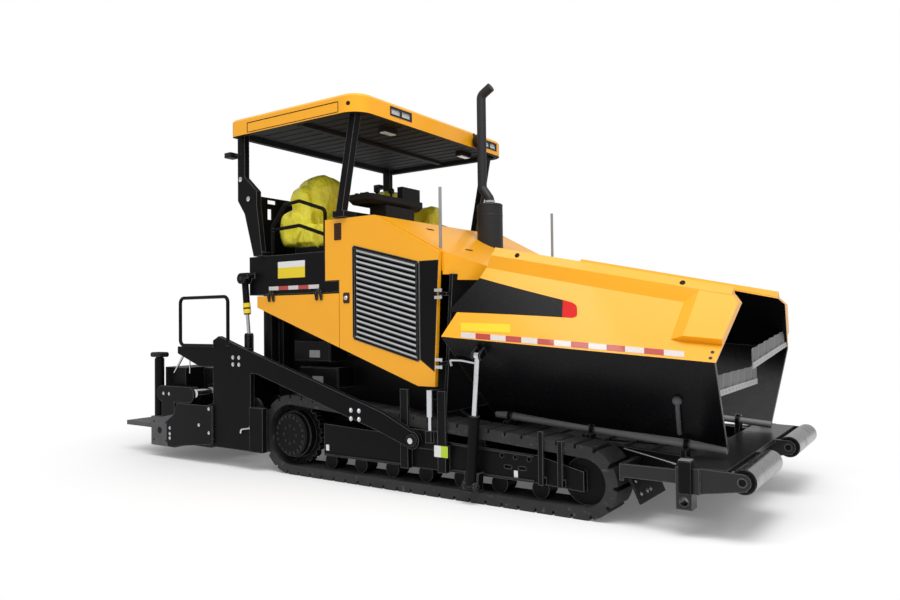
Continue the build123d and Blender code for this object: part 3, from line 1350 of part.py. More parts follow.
def wing_border():
    """Raised border along the wall's top and front edges, with lifting holes sunk in its top strip."""
    rear, front = wing_ends()
    foot = WING_KNEE_FRONT - WING_BORDER_FRONT - WING_BORDER_SLOPE
    shoulder = WING_KNEE_FRONT - WING_BORDER_FRONT
    border = loft([top_strip(rear), top_strip(front)], ruled=True)
    front_sections = [
        front_strip(foot, WING_BORDER_FOOT),
        front_strip(shoulder, WING_BORDER - WING_BORDER_STEP),
        front_strip(front, WING_BORDER - WING_BORDER_STEP),
    ]
    border += loft(front_sections, ruled=True)
    for along in WING_HOLES_AT:
        top, down, out = wall_lines(along)
        inner = top + down * (WING_BORDER_TOP / 2)
        outer = inner + out * (2 * WING_BORDER)
        border -= rod((along, inner.X, inner.Y), (along, outer.X, outer.Y), WING_HOLE_R)
    return border


def wing_clevis():
    """Ears under the left wing's floor on both sides of the cylinder's rod eye."""
    eye_x = CYLINDER_X + (CYLINDER_EYE_Z - CYLINDER_BASE_Z) * math.tan(math.radians(WING_PITCH))
    eye = Location((eye_x, CYLINDER_EYE_Y, CYLINDER_EYE_Z)) * Rot(0, WING_PITCH, 0)
    lean = math.degrees(math.atan2(WING_KNEE_UP, WING_KNEE_OUT))
    ears = []
    for side in (-1, 1):
        middle = side * (CYLINDER_EYE_WIDTH / 2 + MOVE_GAP + CLEVIS_PLATE / 2)
        ear = Rot(0, 90, 0) * Cylinder(CYLINDER_EYE_R, CLEVIS_PLATE)
        root = Box(CLEVIS_PLATE, 2 * CYLINDER_EYE_R, CLEVIS_LENGTH)
        ear += Rot(lean, 0, 0) * Pos(0, 0, CLEVIS_LENGTH / 2) * root
        ears.append(eye * Pos(middle, 0, 0) * ear)
    return ears


def apron(inner, outer, face_x):
    """Left apron: a sheet pleated along its perforated lip, cut off where it meets the wing."""
    run = Vector(outer[0] - inner[0], outer[1] - inner[1])
    place = Plane(origin=(face_x, *inner), x_dir=(0, run.X, run.Y), z_dir=(0, -run.Y, run.X))
    folds = round(run.length / APRON_PLEAT)
    line = [(run.length * index / folds, APRON_PLEAT_DEPTH * (index % 2)) for index in range(folds + 1)]
    sheet = extrude(make_face(Polyline(*thick_line(line, APRON_PLATE), close=True)), amount=APRON_HEIGHT)
    sheet += Pos(run.length / 2, 0, APRON_LIP / 2) * Box(run.length, APRON_LIP_THICK, APRON_LIP)
    holes = []
    for index in range(int(run.length / APRON_HOLE_PITCH)):
        along = (index + 0.5) * APRON_HOLE_PITCH
        hole = Rot(90, 0, 0) * Cylinder(APRON_HOLE_R, 4 * APRON_PLEAT_DEPTH)
        holes.append(Pos(along, 0, APRON_LIP / 2) * hole)
    return (place * (sheet - holes) - wing()).solids().sort_by(Axis.Y)[0]


def hopper_barrel():
    """Left hopper cylinder's barrel with its foot eye and trunnion pin."""
    return cylinder_frame() * trunnion_barrel(
        CYLINDER_BARREL_R, CYLINDER_BARREL_LENGTH, CYLINDER_PIN_R, CYLINDER_ROD_R
    )


def trunnion_barrel(radius, length, pin_r, rod_r):
    """Cylinder barrel along +Z from a round foot with trunnion stubs along X, bored for its rod."""
    barrel = Cylinder(radius, length, align=(Align.CENTER, Align.CENTER, Align.MIN))
    barrel += Rot(0, 90, 0) * Cylinder(TRUNNION_SHARE * radius, 2 * radius)
    barrel += Rot(0, 90, 0) * Cylinder(pin_r, 2 * (radius + MOVE_GAP + CLEVIS_PLATE))
    bore = Cylinder(rod_r + RUN_FIT, length, align=(Align.CENTER, Align.CENTER, Align.MIN))
    return barrel - Pos(0, 0, radius) * bore


def hopper_rod():
    """Left hopper cylinder's rod with the eye at its upper end."""
    reach = math.hypot(CYLINDER_EYE_Y - CYLINDER_BASE_Y, cylinder_rise())
    bar = Pos(0, 0, reach - CYLINDER_ROD_LENGTH) * Cylinder(
        CYLINDER_ROD_R, CYLINDER_ROD_LENGTH, align=(Align.CENTER, Align.CENTER, Align.MIN)
    )
    bar += Pos(0, 0, reach) * Rot(0, 90, 0) * Cylinder(CYLINDER_EYE_R - MOVE_GAP, CYLINDER_EYE_WIDTH)
    return cylinder_frame() * bar


# Front beam and push rollers


def front_beam():
    """Front beam with its deck, bumper posts, track scrapers and the push rollers' brackets."""
    half = BEAM_HALF_WIDTH
    beam = block(BEAM_X, (-half, half), BEAM_Z)
    deck_y = (-PUSH_ROLLER_Y[1], PUSH_ROLLER_Y[1])
    beam += block((BEAM_X[1], DECK_FRONT_X), deck_y, (BEAM_Z[1] - DECK_PLATE, BEAM_Z[1]))
    side = bumper_post()
    arm_y = (half - SCRAPER_ARM - SCRAPER_INSET, half - SCRAPER_INSET)
    side += block((SCRAPER_X[0], BEAM_X[0]), arm_y, SCRAPER_ARM_Z)
    side += block(SCRAPER_X, (TRACK_INNER_Y, arm_y[1]), SCRAPER_Z)
    for y in (PUSH_ROLLER_Y[0] - MOVE_GAP - PUSH_BRACKET, PUSH_ROLLER_Y[1] + MOVE_GAP):
        side += push_bracket((y, y + PUSH_BRACKET))
    return beam + side + across(side)


def bumper_post():
    """Post under the beam's left end with a tie-down eye through it."""
    y = (BEAM_HALF_WIDTH - BUMPER_POST_WIDTH, BEAM_HALF_WIDTH)
    post = block((BEAM_X[0], BEAM_X[0] + BUMPER_POST_WIDTH), y, (BUMPER_POST_Z, BEAM_Z[1]))
    half = BUMPER_POST_WIDTH / 2
    return post - cross_bar(BEAM_X[0] + half, BUMPER_POST_Z + half, y, TIE_DOWN_R, CUT_PAST)


def push_bracket(y):
    """Plate between two Y values that carries one end of a push roller's axle."""
    outline = [
        (BEAM_X[1] - PUSH_BRACKET_LAP, BEAM_Z[0]),
        (BEAM_X[1] - PUSH_BRACKET_LAP, BEAM_Z[1]),
        (PUSH_ROLLER_X, PUSH_ROLLER_Z + 2 * PUSH_AXLE_R),
        (PUSH_ROLLER_X + PUSH_AXLE_R, PUSH_ROLLER_Z + PUSH_AXLE_R),
        (PUSH_ROLLER_X + PUSH_AXLE_R, PUSH_ROLLER_Z - 2 * PUSH_AXLE_R),
    ]
    bracket = plate_xz(outline, *y)
    bracket += cross_bar(PUSH_ROLLER_X, PUSH_ROLLER_Z, y, 2 * PUSH_AXLE_R)
    return bracket - cross_bar(PUSH_ROLLER_X, PUSH_ROLLER_Z, y, PUSH_AXLE_R + RUN_FIT, CUT_PAST)


def push_roller():
    """Left push roller: a drum with bevelled ends on its axle."""
    drum = cross_bar(PUSH_ROLLER_X, PUSH_ROLLER_Z, PUSH_ROLLER_Y, PUSH_ROLLER_R)
    drum = chamfer(drum.edges().filter_by(GeomType.CIRCLE), MOVE_GAP)
    reach = MOVE_GAP + PUSH_BRACKET
    return drum + cross_bar(PUSH_ROLLER_X, PUSH_ROLLER_Z, PUSH_ROLLER_Y, PUSH_AXLE_R, reach)


# Tow points


def tow_point():
    """Left tow point: the sliding carriage with the tow pin and the levelling cylinder's rod."""
    carriage = block(CARRIAGE_X, CARRIAGE_Y, CARRIAGE_Z)
    carriage += cross_bar(TOW_PIVOT_X, TOW_PIVOT_Z, (CARRIAGE_Y[0], ARM_Y[1]), TOW_PIN_R)
    boss_y = (CARRIAGE_Y[0], level_rod_y() + LEVEL_BARREL_R)
    carriage += block(level_x(), boss_y, (CARRIAGE_Z[0] + LEVEL_BOSS_RISE, CARRIAGE_Z[1]))
    return carriage + level_bar(CARRIAGE_Z[0] + LEVEL_ROD_RISE, LEVEL_ROD_TOP_Z, LEVEL_ROD_R)


def level_x():
    """Width that the levelling cylinder's boss and bracket share."""
    return LEVEL_ROD_X - LEVEL_BARREL_R, LEVEL_ROD_X + LEVEL_BARREL_R


def level_bar(low_z, high_z, radius):
    """Upright round bar on the levelling cylinder's line."""
    return rod((LEVEL_ROD_X, level_rod_y(), low_z), (LEVEL_ROD_X, level_rod_y(), high_z), radius)


def level_rod_y():
    """Levelling rod's place outboard of the track."""
    return CARRIAGE_Y[1] + LEVEL_ROD_R / 2


def level_barrel():
    """Left levelling cylinder's barrel on a bracket above the track."""
    low, high = LEVEL_BARREL_Z
    barrel = level_bar(low, high, LEVEL_BARREL_R)
    barrel += block(level_x(), (SIDE_PLATE_OUTER_Y, level_rod_y()), (high - LEVEL_BRACKET, high))
    return barrel - level_bar(low - CUT_PAST, high + CUT_PAST, LEVEL_ROD_R + RUN_FIT)


# Tow arms and screed


def tow_arm():
    """Left tow arm: a cranked plate from the tow pin to the screed's side, with the lift clevis."""
    outline = [
        (TOW_PIVOT_X, TOW_PIVOT_Z + ARM_EYE_R),
        (ARM_NECK_X, ARM_NECK_TOP_Z),
        (ARM_KINK_X, ARM_KINK_TOP_Z),
        (ARM_HEEL_X + ARM_HEEL_CUT, ARM_HEEL_TOP_Z),
        (ARM_HEEL_X, ARM_HEEL_TOP_Z - ARM_HEEL_CUT / 2),
        (ARM_HEEL_X, ARM_HEEL_LOW_Z),
        (SCREED_REAR_X, SCREED_TOP_Z),
        (SCREED_REAR_X, ARM_PLATE_LOW_Z),
        (ARM_PLATE_FRONT_X, ARM_PLATE_LOW_Z),
        (ARM_PLATE_FRONT_X, ARM_KINK_LOW_Z),
        (ARM_KINK_LOW_X, ARM_KINK_LOW_Z),
        (ARM_NECK_X, ARM_NECK_LOW_Z),
        (TOW_PIVOT_X, TOW_PIVOT_Z - ARM_EYE_R),
    ]
    arm = plate_xz(outline, *ARM_Y)
    arm += cross_bar(TOW_PIVOT_X, TOW_PIVOT_Z, ARM_Y, ARM_EYE_R)
    bore = cross_bar(TOW_PIVOT_X, TOW_PIVOT_Z, ARM_Y, TOW_PIN_R + RUN_FIT, CUT_PAST)
    shelf = [
        (ARM_SHELF_REAR_X, ARM_SHELF_Z[1]),
        (ARM_SHELF_REAR_X, ARM_SHELF_Z[2]),
        (ARM_HEEL_X + ARM_HEEL_CUT, ARM_SHELF_Z[2]),
        (ARM_HEEL_X + ARM_HEEL_CUT, ARM_SHELF_Z[0]),
        (ARM_SHELF_ROOT_X, ARM_SHELF_Z[0]),
    ]
    arm += plate_xz(shelf, *ARM_Y)
    arm += block(ARM_POST_X, (ARM_Y[0], ARM_POST_OUTER_Y), (ARM_PLATE_LOW_Z, ARM_POST_TOP_Z))
    return arm - bore + lift_clevis()


def lift_clevis():
    """Ears on the left tow arm on both sides of the lift cylinder's rod eye."""
    half = LIFT_EYE_WIDTH / 2 + MOVE_GAP
    saddle_top = LIFT_EYE_Z - LIFT_EYE_R - LIFT_SLACK
    saddle_z = (saddle_top - 2 * LIFT_EYE_R, saddle_top)
    across_x = (LIFT_EYE_X - LIFT_EYE_R, LIFT_EYE_X + LIFT_EYE_R)
    clevis = block(across_x, (LIFT_Y - half - CLEVIS_PLATE, ARM_Y[1]), saddle_z)
    for low in (LIFT_Y - half - CLEVIS_PLATE, LIFT_Y + half):
        ear_y = (low, low + CLEVIS_PLATE)
        clevis += block(across_x, ear_y, (saddle_z[0], LIFT_EYE_Z))
        clevis += cross_bar(LIFT_EYE_X, LIFT_EYE_Z, ear_y, LIFT_EYE_R)
    return clevis


def screed_base():
    """Main screed body with the housing that guides the extensions' tubes."""
    half = ARM_Y[0]
    outline = [
        (SCREED_FRONT_X, SCREED_LOW_Z + SCREED_BEVEL),
        (SCREED_FRONT_X, SCREED_TOP_Z),
        (SCREED_REAR_X, SCREED_TOP_Z),
        (SCREED_REAR_X, SCREED_LOW_Z),
        (SCREED_FRONT_X - SCREED_BEVEL, SCREED_LOW_Z),
    ]
    base = plate_xz(outline, -half, half)
    house = GUIDE_HOUSING_HALF_WIDTH
    base += block(GUIDE_HOUSING_X, (-house, house), GUIDE_HOUSING_Z)
    for side, x in ((1, GUIDE_TUBE_X_LEFT), (-1, GUIDE_TUBE_X_RIGHT)):
        end = side * (house + GUIDE_COLLAR)
        base += rod((x, 0, GUIDE_TUBE_Z), (x, end, GUIDE_TUBE_Z), GUIDE_COLLAR_R)
        base -= rod((x, -2 * end, GUIDE_TUBE_Z), (x, 2 * end, GUIDE_TUBE_Z), GUIDE_TUBE_R + RUN_FIT)
    return base


def tube_bracket(tube_x):
    """Round-ended plate that carries the guide tube's outer end on the left extension's tower."""
    rear = Pos(BRACKET_REAR_X, GUIDE_TUBE_Z) * Circle(BRACKET_R)
    front = Pos(tube_x, GUIDE_TUBE_Z) * Circle(BRACKET_R)
    outline = make_hull(rear.edges() + front.edges())
    plate = extrude(Plane.XZ * outline, amount=END_PLATE_Y[1] - BRACKET_INNER_Y)
    return Pos(0, END_PLATE_Y[1], 0) * plate


def control_post():
    """Post for the screed's side controls, standing on the left extension's box."""
    low = (CONTROL_POST_X, CONTROL_POST_Y, EXTENSION_Z[1])
    high = (CONTROL_POST_X, CONTROL_POST_Y, CONTROL_POST_TOP_Z)
    post = rod(low, high, CONTROL_POST_R)
    return chamfer(post.edges().sort_by(Axis.Z)[-1], CONTROL_POST_BEVEL)


def extension(tube_x):
    """Left screed extension: box, tower, end plate, step, control post and the guide tube at tube_x."""
    body_y = (EXTENSION_INNER_Y, END_PLATE_Y[1])
    body = block(EXTENSION_X, body_y, EXTENSION_Z)
    body += block(TOWER_X, (EXTENSION_INNER_Y, TOWER_OUTER_Y), (EXTENSION_Z[0], TOWER_TOP_Z))
    body += block((BRACKET_REAR_X, TOWER_X[1]), body_y, (EXTENSION_Z[0], GUIDE_TUBE_Z))
    outline = [
        (END_PLATE_REAR_X[0], END_PLATE_LOW_Z[0]),
        (END_PLATE_REAR_X[1], END_PLATE_TOP_Z),
        (END_PLATE_FRONT_X, END_PLATE_TOP_Z),
        (END_PLATE_FRONT_X, END_PLATE_LOW_Z[1]),
    ]
    body += plate_xz(outline, *END_PLATE_Y)
    body += tube_bracket(tube_x)
    body += control_post()
    body += cross_bar(tube_x, GUIDE_TUBE_Z, (-GUIDE_TUBE_INNER_END, END_PLATE_Y[1]), GUIDE_TUBE_R)
    step_y = (EXTENSION_INNER_Y, END_PLATE_Y[0] - STEP_INSET)
    body += block((STEP_REAR_X, EXTENSION_X[0]), step_y, STEP_Z)
    bolt_y = (END_PLATE_Y[1] - EXTENSION_BOLT_DEPTH, END_PLATE_Y[1] + CUT_PAST)
    for dx in (-0.5, 0.5):
        for dz in (-0.5, 0.5):
            x = EXTENSION_BOLT_X + dx * EXTENSION_BOLT_SPACING_X
            z = EXTENSION_BOLT_Z + dz * EXTENSION_BOLT_SPACING_Z
            body -= cross_bar(x, z, bolt_y, EXTENSION_BOLT_R)
    return body


def screed_rail():
    """Left screed handrail: a hoop standing on the tow arm's heel."""
    y = ARM_Y[1]
    points = [
        (SCREED_RAIL_FRONT_X, y, SCREED_RAIL_LOW_Z),
        (SCREED_RAIL_FRONT_X, y, SCREED_RAIL_TOP_Z),
        (SCREED_RAIL_REAR_X, y, SCREED_RAIL_TOP_Z),
        (SCREED_RAIL_REAR_X, y, SCREED_RAIL_LOW_Z),
        (ARM_HEEL_X + RAIL_R, y, SCREED_RAIL_LOW_Z),
    ]
    return bent_tube(points, RAIL_R, SCREED_RAIL_BEND) - tow_arm()


def lift_frame():
    """Frame at the left lift cylinder's head, Z down the cylinder to its eye on the tow arm."""
    down = (LIFT_EYE_X - LIFT_TOP_X, 0, LIFT_EYE_Z - LIFT_TOP_Z)
    return Plane(origin=(LIFT_TOP_X, LIFT_Y, LIFT_TOP_Z), x_dir=(0, 1, 0), z_dir=down)


def lift_barrel():
    """Left lift cylinder's barrel, hung by a trunnion pin at its head."""
    return lift_frame() * trunnion_barrel(LIFT_BARREL_R, LIFT_BARREL_LENGTH, LIFT_PIN_R, LIFT_ROD_R)


def lift_rod():
    """Left lift cylinder's rod with its lower eye beside the tow arm."""
    reach = math.hypot(LIFT_EYE_X - LIFT_TOP_X, LIFT_EYE_Z - LIFT_TOP_Z)
    up = (Align.CENTER, Align.CENTER, Align.MIN)
    bar = Pos(0, 0, reach - LIFT_ROD_LENGTH) * Cylinder(LIFT_ROD_R, LIFT_ROD_LENGTH, align=up)
    bar += Pos(0, 0, reach) * Rot(0, 90, 0) * Cylinder(LIFT_EYE_R, LIFT_EYE_WIDTH)
    return lift_frame() * bar


# Augers


def auger():
    """Left auger: a shaft with one helical flight, its journal running in the centre case."""
    shaft = cross_bar(AUGER_X, AUGER_Z, (AUGER_INNER_Y, AUGER_OUTER_Y), AUGER_SHAFT_R)
    shaft += cross_bar(AUGER_X, AUGER_Z, (AUGER_CASE_HALF_WIDTH / 2, AUGER_INNER_Y), AUGER_JOURNAL_R)
    run = AUGER_OUTER_Y - AUGER_INNER_Y - 2 * AUGER_FLIGHT
    root_r = AUGER_SHAFT_R - AUGER_FLIGHT_LAP
    helix = Helix(pitch=AUGER_PITCH, height=run, radius=(AUGER_R + root_r) / 2)
    start = Plane(origin=helix @ 0, x_dir=(1, 0, 0), z_dir=helix % 0)
    flight = sweep(start * Rectangle(AUGER_R - root_r, AUGER_FLIGHT), helix, is_frenet=True)
    place = Location((AUGER_X, AUGER_INNER_Y + AUGER_FLIGHT, AUGER_Z)) * Rot(-90, 0, 0)
    return shaft + place * flight


def auger_case():
    """Auger drive case and its carrier beam on the frame's tail."""
    half = AUGER_CASE_HALF_WIDTH
    carrier = [
        (FRAME_TAIL_X, AUGER_BEAM_LOW_Z),
        (FRAME_TAIL_X, AUGER_BEAM_TAIL_Z),
        (AUGER_X, AUGER_BEAM_END_Z),
        (AUGER_X - AUGER_CASE_R, AUGER_Z),
        (AUGER_X, AUGER_Z - AUGER_CASE_DROP),
        (AUGER_X + AUGER_CASE_R, AUGER_Z),
        (AUGER_X + AUGER_CASE_R, AUGER_BEAM_LOW_Z),
    ]
    case = plate_xz(carrier, -half, half)
    journal = cross_bar(AUGER_X, AUGER_Z, (half / 2 - MOVE_GAP, half + CUT_PAST), AUGER_JOURNAL_R + RUN_FIT)
    return case - journal - across(journal)


def main():
    """Write every node."""
    os.makedirs("parts", exist_ok=True)
    save_sides("track", track())
    save_sides("track_frame", track_frame())
    save_sides("drive_sprocket", drive_sprocket())
    save("main_frame", main_frame())
    save("conveyor", conveyor())
    save("hopper_back_wall", back_wall())
    boxes = Compound(children=[side_box(UPPER_BOX_X, UPPER_BOX_Z), side_box(LOWER_BOX_X, LOWER_BOX_Z)])
    save("side_boxes", pair(boxes))
    save("engine_block", engine())
    save("engine_hood", hood())
    save_sides("engine_door", engine_door())
    save_sides("door_louvre", louvre())
    save_sides("lower_flap", flap())
    save("operator_platform", platform())
    save_sides("seat", seat())
    save("control_console", console())
    save("platform_rails", pair(rails()))
    save("rear_guard", guard())
    save("roof_shell", roof_shell())
    save("roof_liner", roof_liner())
    save("roof_lamps", Compound(children=[roof_lamp(LAMP_LEFT_Y), across(roof_lamp(LAMP_RIGHT_Y))]))
    save("roof_posts", Compound(children=[*pair(front_post()).solids(), *pair(rear_post()).solids()]))
    save("exhaust_muffler", muffler())
    save("exhaust_pipe", exhaust_pipe())
    save("sight_poles", pair(sight_pole()))
    save_sides("hopper_wing", wing())
    save("hopper_apron_left", apron(*APRON_LEFT, APRON_LEFT_X))
    save("hopper_apron_right", across(apron(*APRON_RIGHT, APRON_RIGHT_X)))
    save_sides("hopper_barrel", hopper_barrel())
    save_sides("hopper_rod", hopper_rod())
    save("front_beam", front_beam())
    save_sides("push_roller", push_roller())
    save("tow_points", pair(tow_point()))
    save("levelling_barrels", pair(level_barrel()))
    save_sides("tow_arm", tow_arm())
    save("screed_base", screed_base())
    save("screed_extension_left", extension(GUIDE_TUBE_X_LEFT))
    save("screed_extension_right", across(extension(GUIDE_TUBE_X_RIGHT)))
    save("screed_rails", pair(screed_rail()))
    save("lift_barrels", pair(lift_barrel()))
    save("lift_rods", pair(lift_rod()))
    save_sides("auger", auger())
    save("auger_case", auger_case())


main()
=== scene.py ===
"""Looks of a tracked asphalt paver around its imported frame: finishes, fittings, covers and a pale studio.

Metres. +X points forward to the push rollers, +Y to the machine's left, +Z up, with the ground at zero.
"""

import logging
import math
from dataclasses import dataclass, field
from enum import Enum
from typing import Any, Callable, Iterable, Sequence

import bpy
import numpy as np
from mathutils import Matrix


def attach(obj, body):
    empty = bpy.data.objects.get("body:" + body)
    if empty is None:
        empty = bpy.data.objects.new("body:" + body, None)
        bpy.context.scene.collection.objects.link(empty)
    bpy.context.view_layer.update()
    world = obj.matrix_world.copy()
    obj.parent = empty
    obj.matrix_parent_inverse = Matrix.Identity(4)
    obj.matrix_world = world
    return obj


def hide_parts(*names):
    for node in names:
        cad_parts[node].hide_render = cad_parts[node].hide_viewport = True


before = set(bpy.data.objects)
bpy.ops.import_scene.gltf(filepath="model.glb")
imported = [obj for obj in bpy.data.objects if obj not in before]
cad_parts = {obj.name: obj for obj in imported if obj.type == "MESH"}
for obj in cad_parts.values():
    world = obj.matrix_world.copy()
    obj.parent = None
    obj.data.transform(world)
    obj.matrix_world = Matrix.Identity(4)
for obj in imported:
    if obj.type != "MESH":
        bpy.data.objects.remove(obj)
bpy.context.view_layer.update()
LOG = logging.getLogger("paver")

Array = np.ndarray
Pair = tuple[float, float]
Triple = tuple[float, float, float]
Outline = tuple[Pair, ...]

UP: Triple = (0.0, 0.0, 1.0)
AHEAD: Triple = (1.0, 0.0, 0.0)
# Distance of the side panels' faces from the middle, and a sticker's thickness and bevel
PANEL_Y = 1.15
STICKER = (0.002, 0.0005)


class Side(Enum):
    """The machine's two sides, as the sign of Y."""

    LEFT = 1
    RIGHT = -1

    @property
    def word(self) -> str:
        """Ending of the names on this side."""
        return self.name.lower()

    @property
    def out(self) -> Triple:
        """Direction square out of this side."""
        return (0.0, float(self.value), 0.0)

    def at(self, x: float, y: float, z: float) -> Triple:
        """Point or direction whose y counts outwards from the middle."""
        return (x, self.value * y, z)

    def span(self, near: float, far: float) -> Pair:
        """Low and high Y of two distances from the middle."""
        return tuple(sorted((self.value * near, self.value * far)))


# Shader building


class Value:
    """One socket of a shader tree. Arithmetic on it adds Math nodes."""

    def __init__(self, shader: "Shader", socket: bpy.types.NodeSocket) -> None:
        """Wrap a socket of a shader's tree."""
        self.shader = shader
        self.socket = socket

    def math(self, operation: str, first: Any, second: Any) -> "Value":
        """Add a Math node.

        Args:
            operation: Blender's name of the operation.
            first: Left value, a number or a Value.
            second: Right value, a number or a Value.

        Returns:
            The node's result.
        """
        return self.shader.node("ShaderNodeMath", {"operation": operation}, {0: first, 1: second})

    def __add__(self, other: Any) -> "Value":
        """Sum with a number or Value."""
        return self.math("ADD", self, other)

    __radd__ = __add__

    def __sub__(self, other: Any) -> "Value":
        """This less a number or Value."""
        return self.math("SUBTRACT", self, other)

    def __rsub__(self, other: Any) -> "Value":
        """A number or Value less this."""
        return self.math("SUBTRACT", other, self)

    def __mul__(self, other: Any) -> "Value":
        """Product with a number or Value."""
        return self.math("MULTIPLY", self, other)

    __rmul__ = __mul__

    def ramp(self, low: float, high: float) -> "Value":
        """Smooth step from 0 at low to 1 at high."""
        settings = {"interpolation_type": "SMOOTHSTEP"}
        values = {"Value": self, "From Min": low, "From Max": high}
        return self.shader.node("ShaderNodeMapRange", settings, values)


class Shader:
    """A material's or world's node tree under construction."""

    def __init__(self, name: str, kind: str = "materials") -> None:
        """Start an empty tree.

        Args:
            name: Name of the material or world.
            kind: Blender's collection that it goes into, materials or worlds.
        """
        self.owner = getattr(bpy.data, kind).new(self.full_name(name))
        self.owner.use_nodes = True
        self.tree = self.owner.node_tree
        self.tree.nodes.clear()
        self.place = self.node("ShaderNodeTexCoord", output="Object")

    @staticmethod
    def full_name(name: str) -> str:
        """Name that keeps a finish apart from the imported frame's own plain materials."""
        return f"look_{name}"

    def node(
        self,
        kind: str,
        settings: dict[str, Any] | None = None,
        values: dict[Any, Any] | None = None,
        output: Any = 0,
    ) -> Value:
        """Add one node.

        Args:
            kind: Blender's node type.
            settings: Properties of the node.
            values: Input sockets by name or number, as constants or Values.
            output: Name or number of the socket that is returned.

        Returns:
            The chosen output.
        """
        made = self.tree.nodes.new(kind)
        for name, setting in (settings or {}).items():
            setattr(made, name, setting)
        for key, value in (values or {}).items():
            if isinstance(value, Value):
                self.tree.links.new(value.socket, made.inputs[key])
            else:
                made.inputs[key].default_value = value
        return Value(self, made.outputs[output])

    def axis(self, letter: str) -> Value:
        """One Object coordinate, in metres."""
        return self.node("ShaderNodeSeparateXYZ", values={0: self.place}, output=letter)

    def facing_up(self) -> Value:
        """Z part of the surface's normal: 1 on a top, 0 on a wall."""
        normal = self.node("ShaderNodeNewGeometry", output="Normal")
        return self.node("ShaderNodeSeparateXYZ", values={0: normal}, output="Z")

    def noise(self, scale: float, detail: float = 4.0, stretch: Triple = (1.0, 1.0, 1.0)) -> Value:
        """Cloudy pattern from 0 to 1.

        Args:
            scale: Cells in a metre.
            detail: Octaves of finer cloud.
            stretch: Factors on the three axes.

        Returns:
            The pattern.
        """
        place = self.node("ShaderNodeMapping", values={"Vector": self.place, "Scale": stretch})
        return self.node("ShaderNodeTexNoise", values={"Vector": place, "Scale": scale, "Detail": detail})

    def colour(self, share: Value, low: Triple, high: Triple) -> Value:
        """Colour that goes from low to high with a share."""
        settings = {"data_type": "RGBA"}
        return self.node("ShaderNodeMix", settings, {0: share, 6: (*low, 1.0), 7: (*high, 1.0)}, 2)

    def layer(self, share: Value, below: Value, colour: Triple) -> Value:
        """A flat colour laid over another colour by a share."""
        settings = {"data_type": "RGBA"}
        return self.node("ShaderNodeMix", settings, {0: share, 6: below, 7: (*colour, 1.0)}, 2)

    def edges(self, radius: float) -> Value:
        """Share that is 0 on a flat and 1 at an edge: how far a rounded normal leans off the face's own."""
        rounded = self.node("ShaderNodeBevel", {"samples": 4}, {"Radius": radius})
        plain = self.node("ShaderNodeNewGeometry", output="True Normal")
        pair = {0: rounded, 1: plain}
        lean = self.node("ShaderNodeVectorMath", {"operation": "DOT_PRODUCT"}, pair, "Value")
        return (1.0 - lean).ramp(0.03, 0.3)

    def bump(self, height: Value, depth: float) -> Value:
        """Normal bent by a height pattern, depth in metres."""
        return self.node("ShaderNodeBump", values={"Height": height, "Distance": depth, "Strength": 1.0})

    def finish(self, **values: Any) -> bpy.types.Material:
        """Close the tree with a Principled shader.

        Args:
            values: Input sockets, with underscores for spaces in their names.

        Returns:
            The finished material.
        """
        named = {key.replace("_", " "): value for key, value in values.items()}
        self.close(self.node("ShaderNodeBsdfPrincipled", values=named))
        return self.owner

    def rays(self, *kinds: str) -> Value:
        """1 on rays of any of the kinds, which are output names of Light Path."""
        found = [self.node("ShaderNodeLightPath", output=kind) for kind in kinds]
        share = found[0]
        for other in found[1:]:
            share = share.math("MAXIMUM", share, other)
        return share

    def close(self, surface: Value, output: str = "ShaderNodeOutputMaterial") -> None:
        """Lead a surface to the tree's output node."""
        out = self.tree.nodes.new(output)
        self.tree.links.new(surface.socket, out.inputs["Surface"])


# Finishes


@dataclass(frozen=True)
class Paint:
    """Machine paint: faint orange peel, cloudy tone, edges painted lighter as a painted highlight that also
    stands for rubbed wear, and dust on tops and low down.
    """

    name: str
    colour: Triple
    roughness: float = 0.36
    coat: float = 0.25
    tone: float = 0.06
    dust: float = 0.05
    dust_colour: Triple = (0.36, 0.31, 0.25)
    specular: float = 0.5
    # edge is the share of a painted edge highlight: a lighter colour along edges that partly stands for
    # rubbed wear
    edge: float = 0.0
    edge_colour: Triple = (0.20, 0.20, 0.205)
    edge_radius: float = 0.012
    peel_depth: float = 0.0004
    peel_scale: float = 260.0

    def build(self) -> bpy.types.Material:
        """Make the material."""
        shader = Shader(self.name)
        darker = tuple((1.0 - self.tone) * part for part in self.colour)
        lighter = tuple((1.0 + self.tone) * part for part in self.colour)
        base = shader.colour(shader.noise(2.2), darker, lighter)
        settled = shader.facing_up().ramp(-0.2, 1.0) * shader.noise(9.0, 8.0).ramp(0.42, 0.8)
        low_down = (1.0 - shader.axis("Z").ramp(0.1, 1.1)) * shader.noise(6.0, 8.0).ramp(0.35, 0.75)
        grime = (settled + low_down) * self.dust
        base = shader.layer(grime, base, self.dust_colour)
        # Painted highlight: a lighter colour laid along edges, partly standing for rubbed wear
        if self.edge:
            base = shader.layer(shader.edges(self.edge_radius) * self.edge, base, self.edge_colour)
        rough = shader.noise(14.0) * 0.12 + (self.roughness - 0.06) + grime * 0.5
        normal = shader.bump(shader.noise(self.peel_scale, 1.0), self.peel_depth)
        return shader.finish(
            Base_Color=base,
            Roughness=rough,
            Specular_IOR_Level=self.specular,
            Coat_Weight=self.coat,
            Coat_Roughness=0.12,
            Normal=normal,
        )


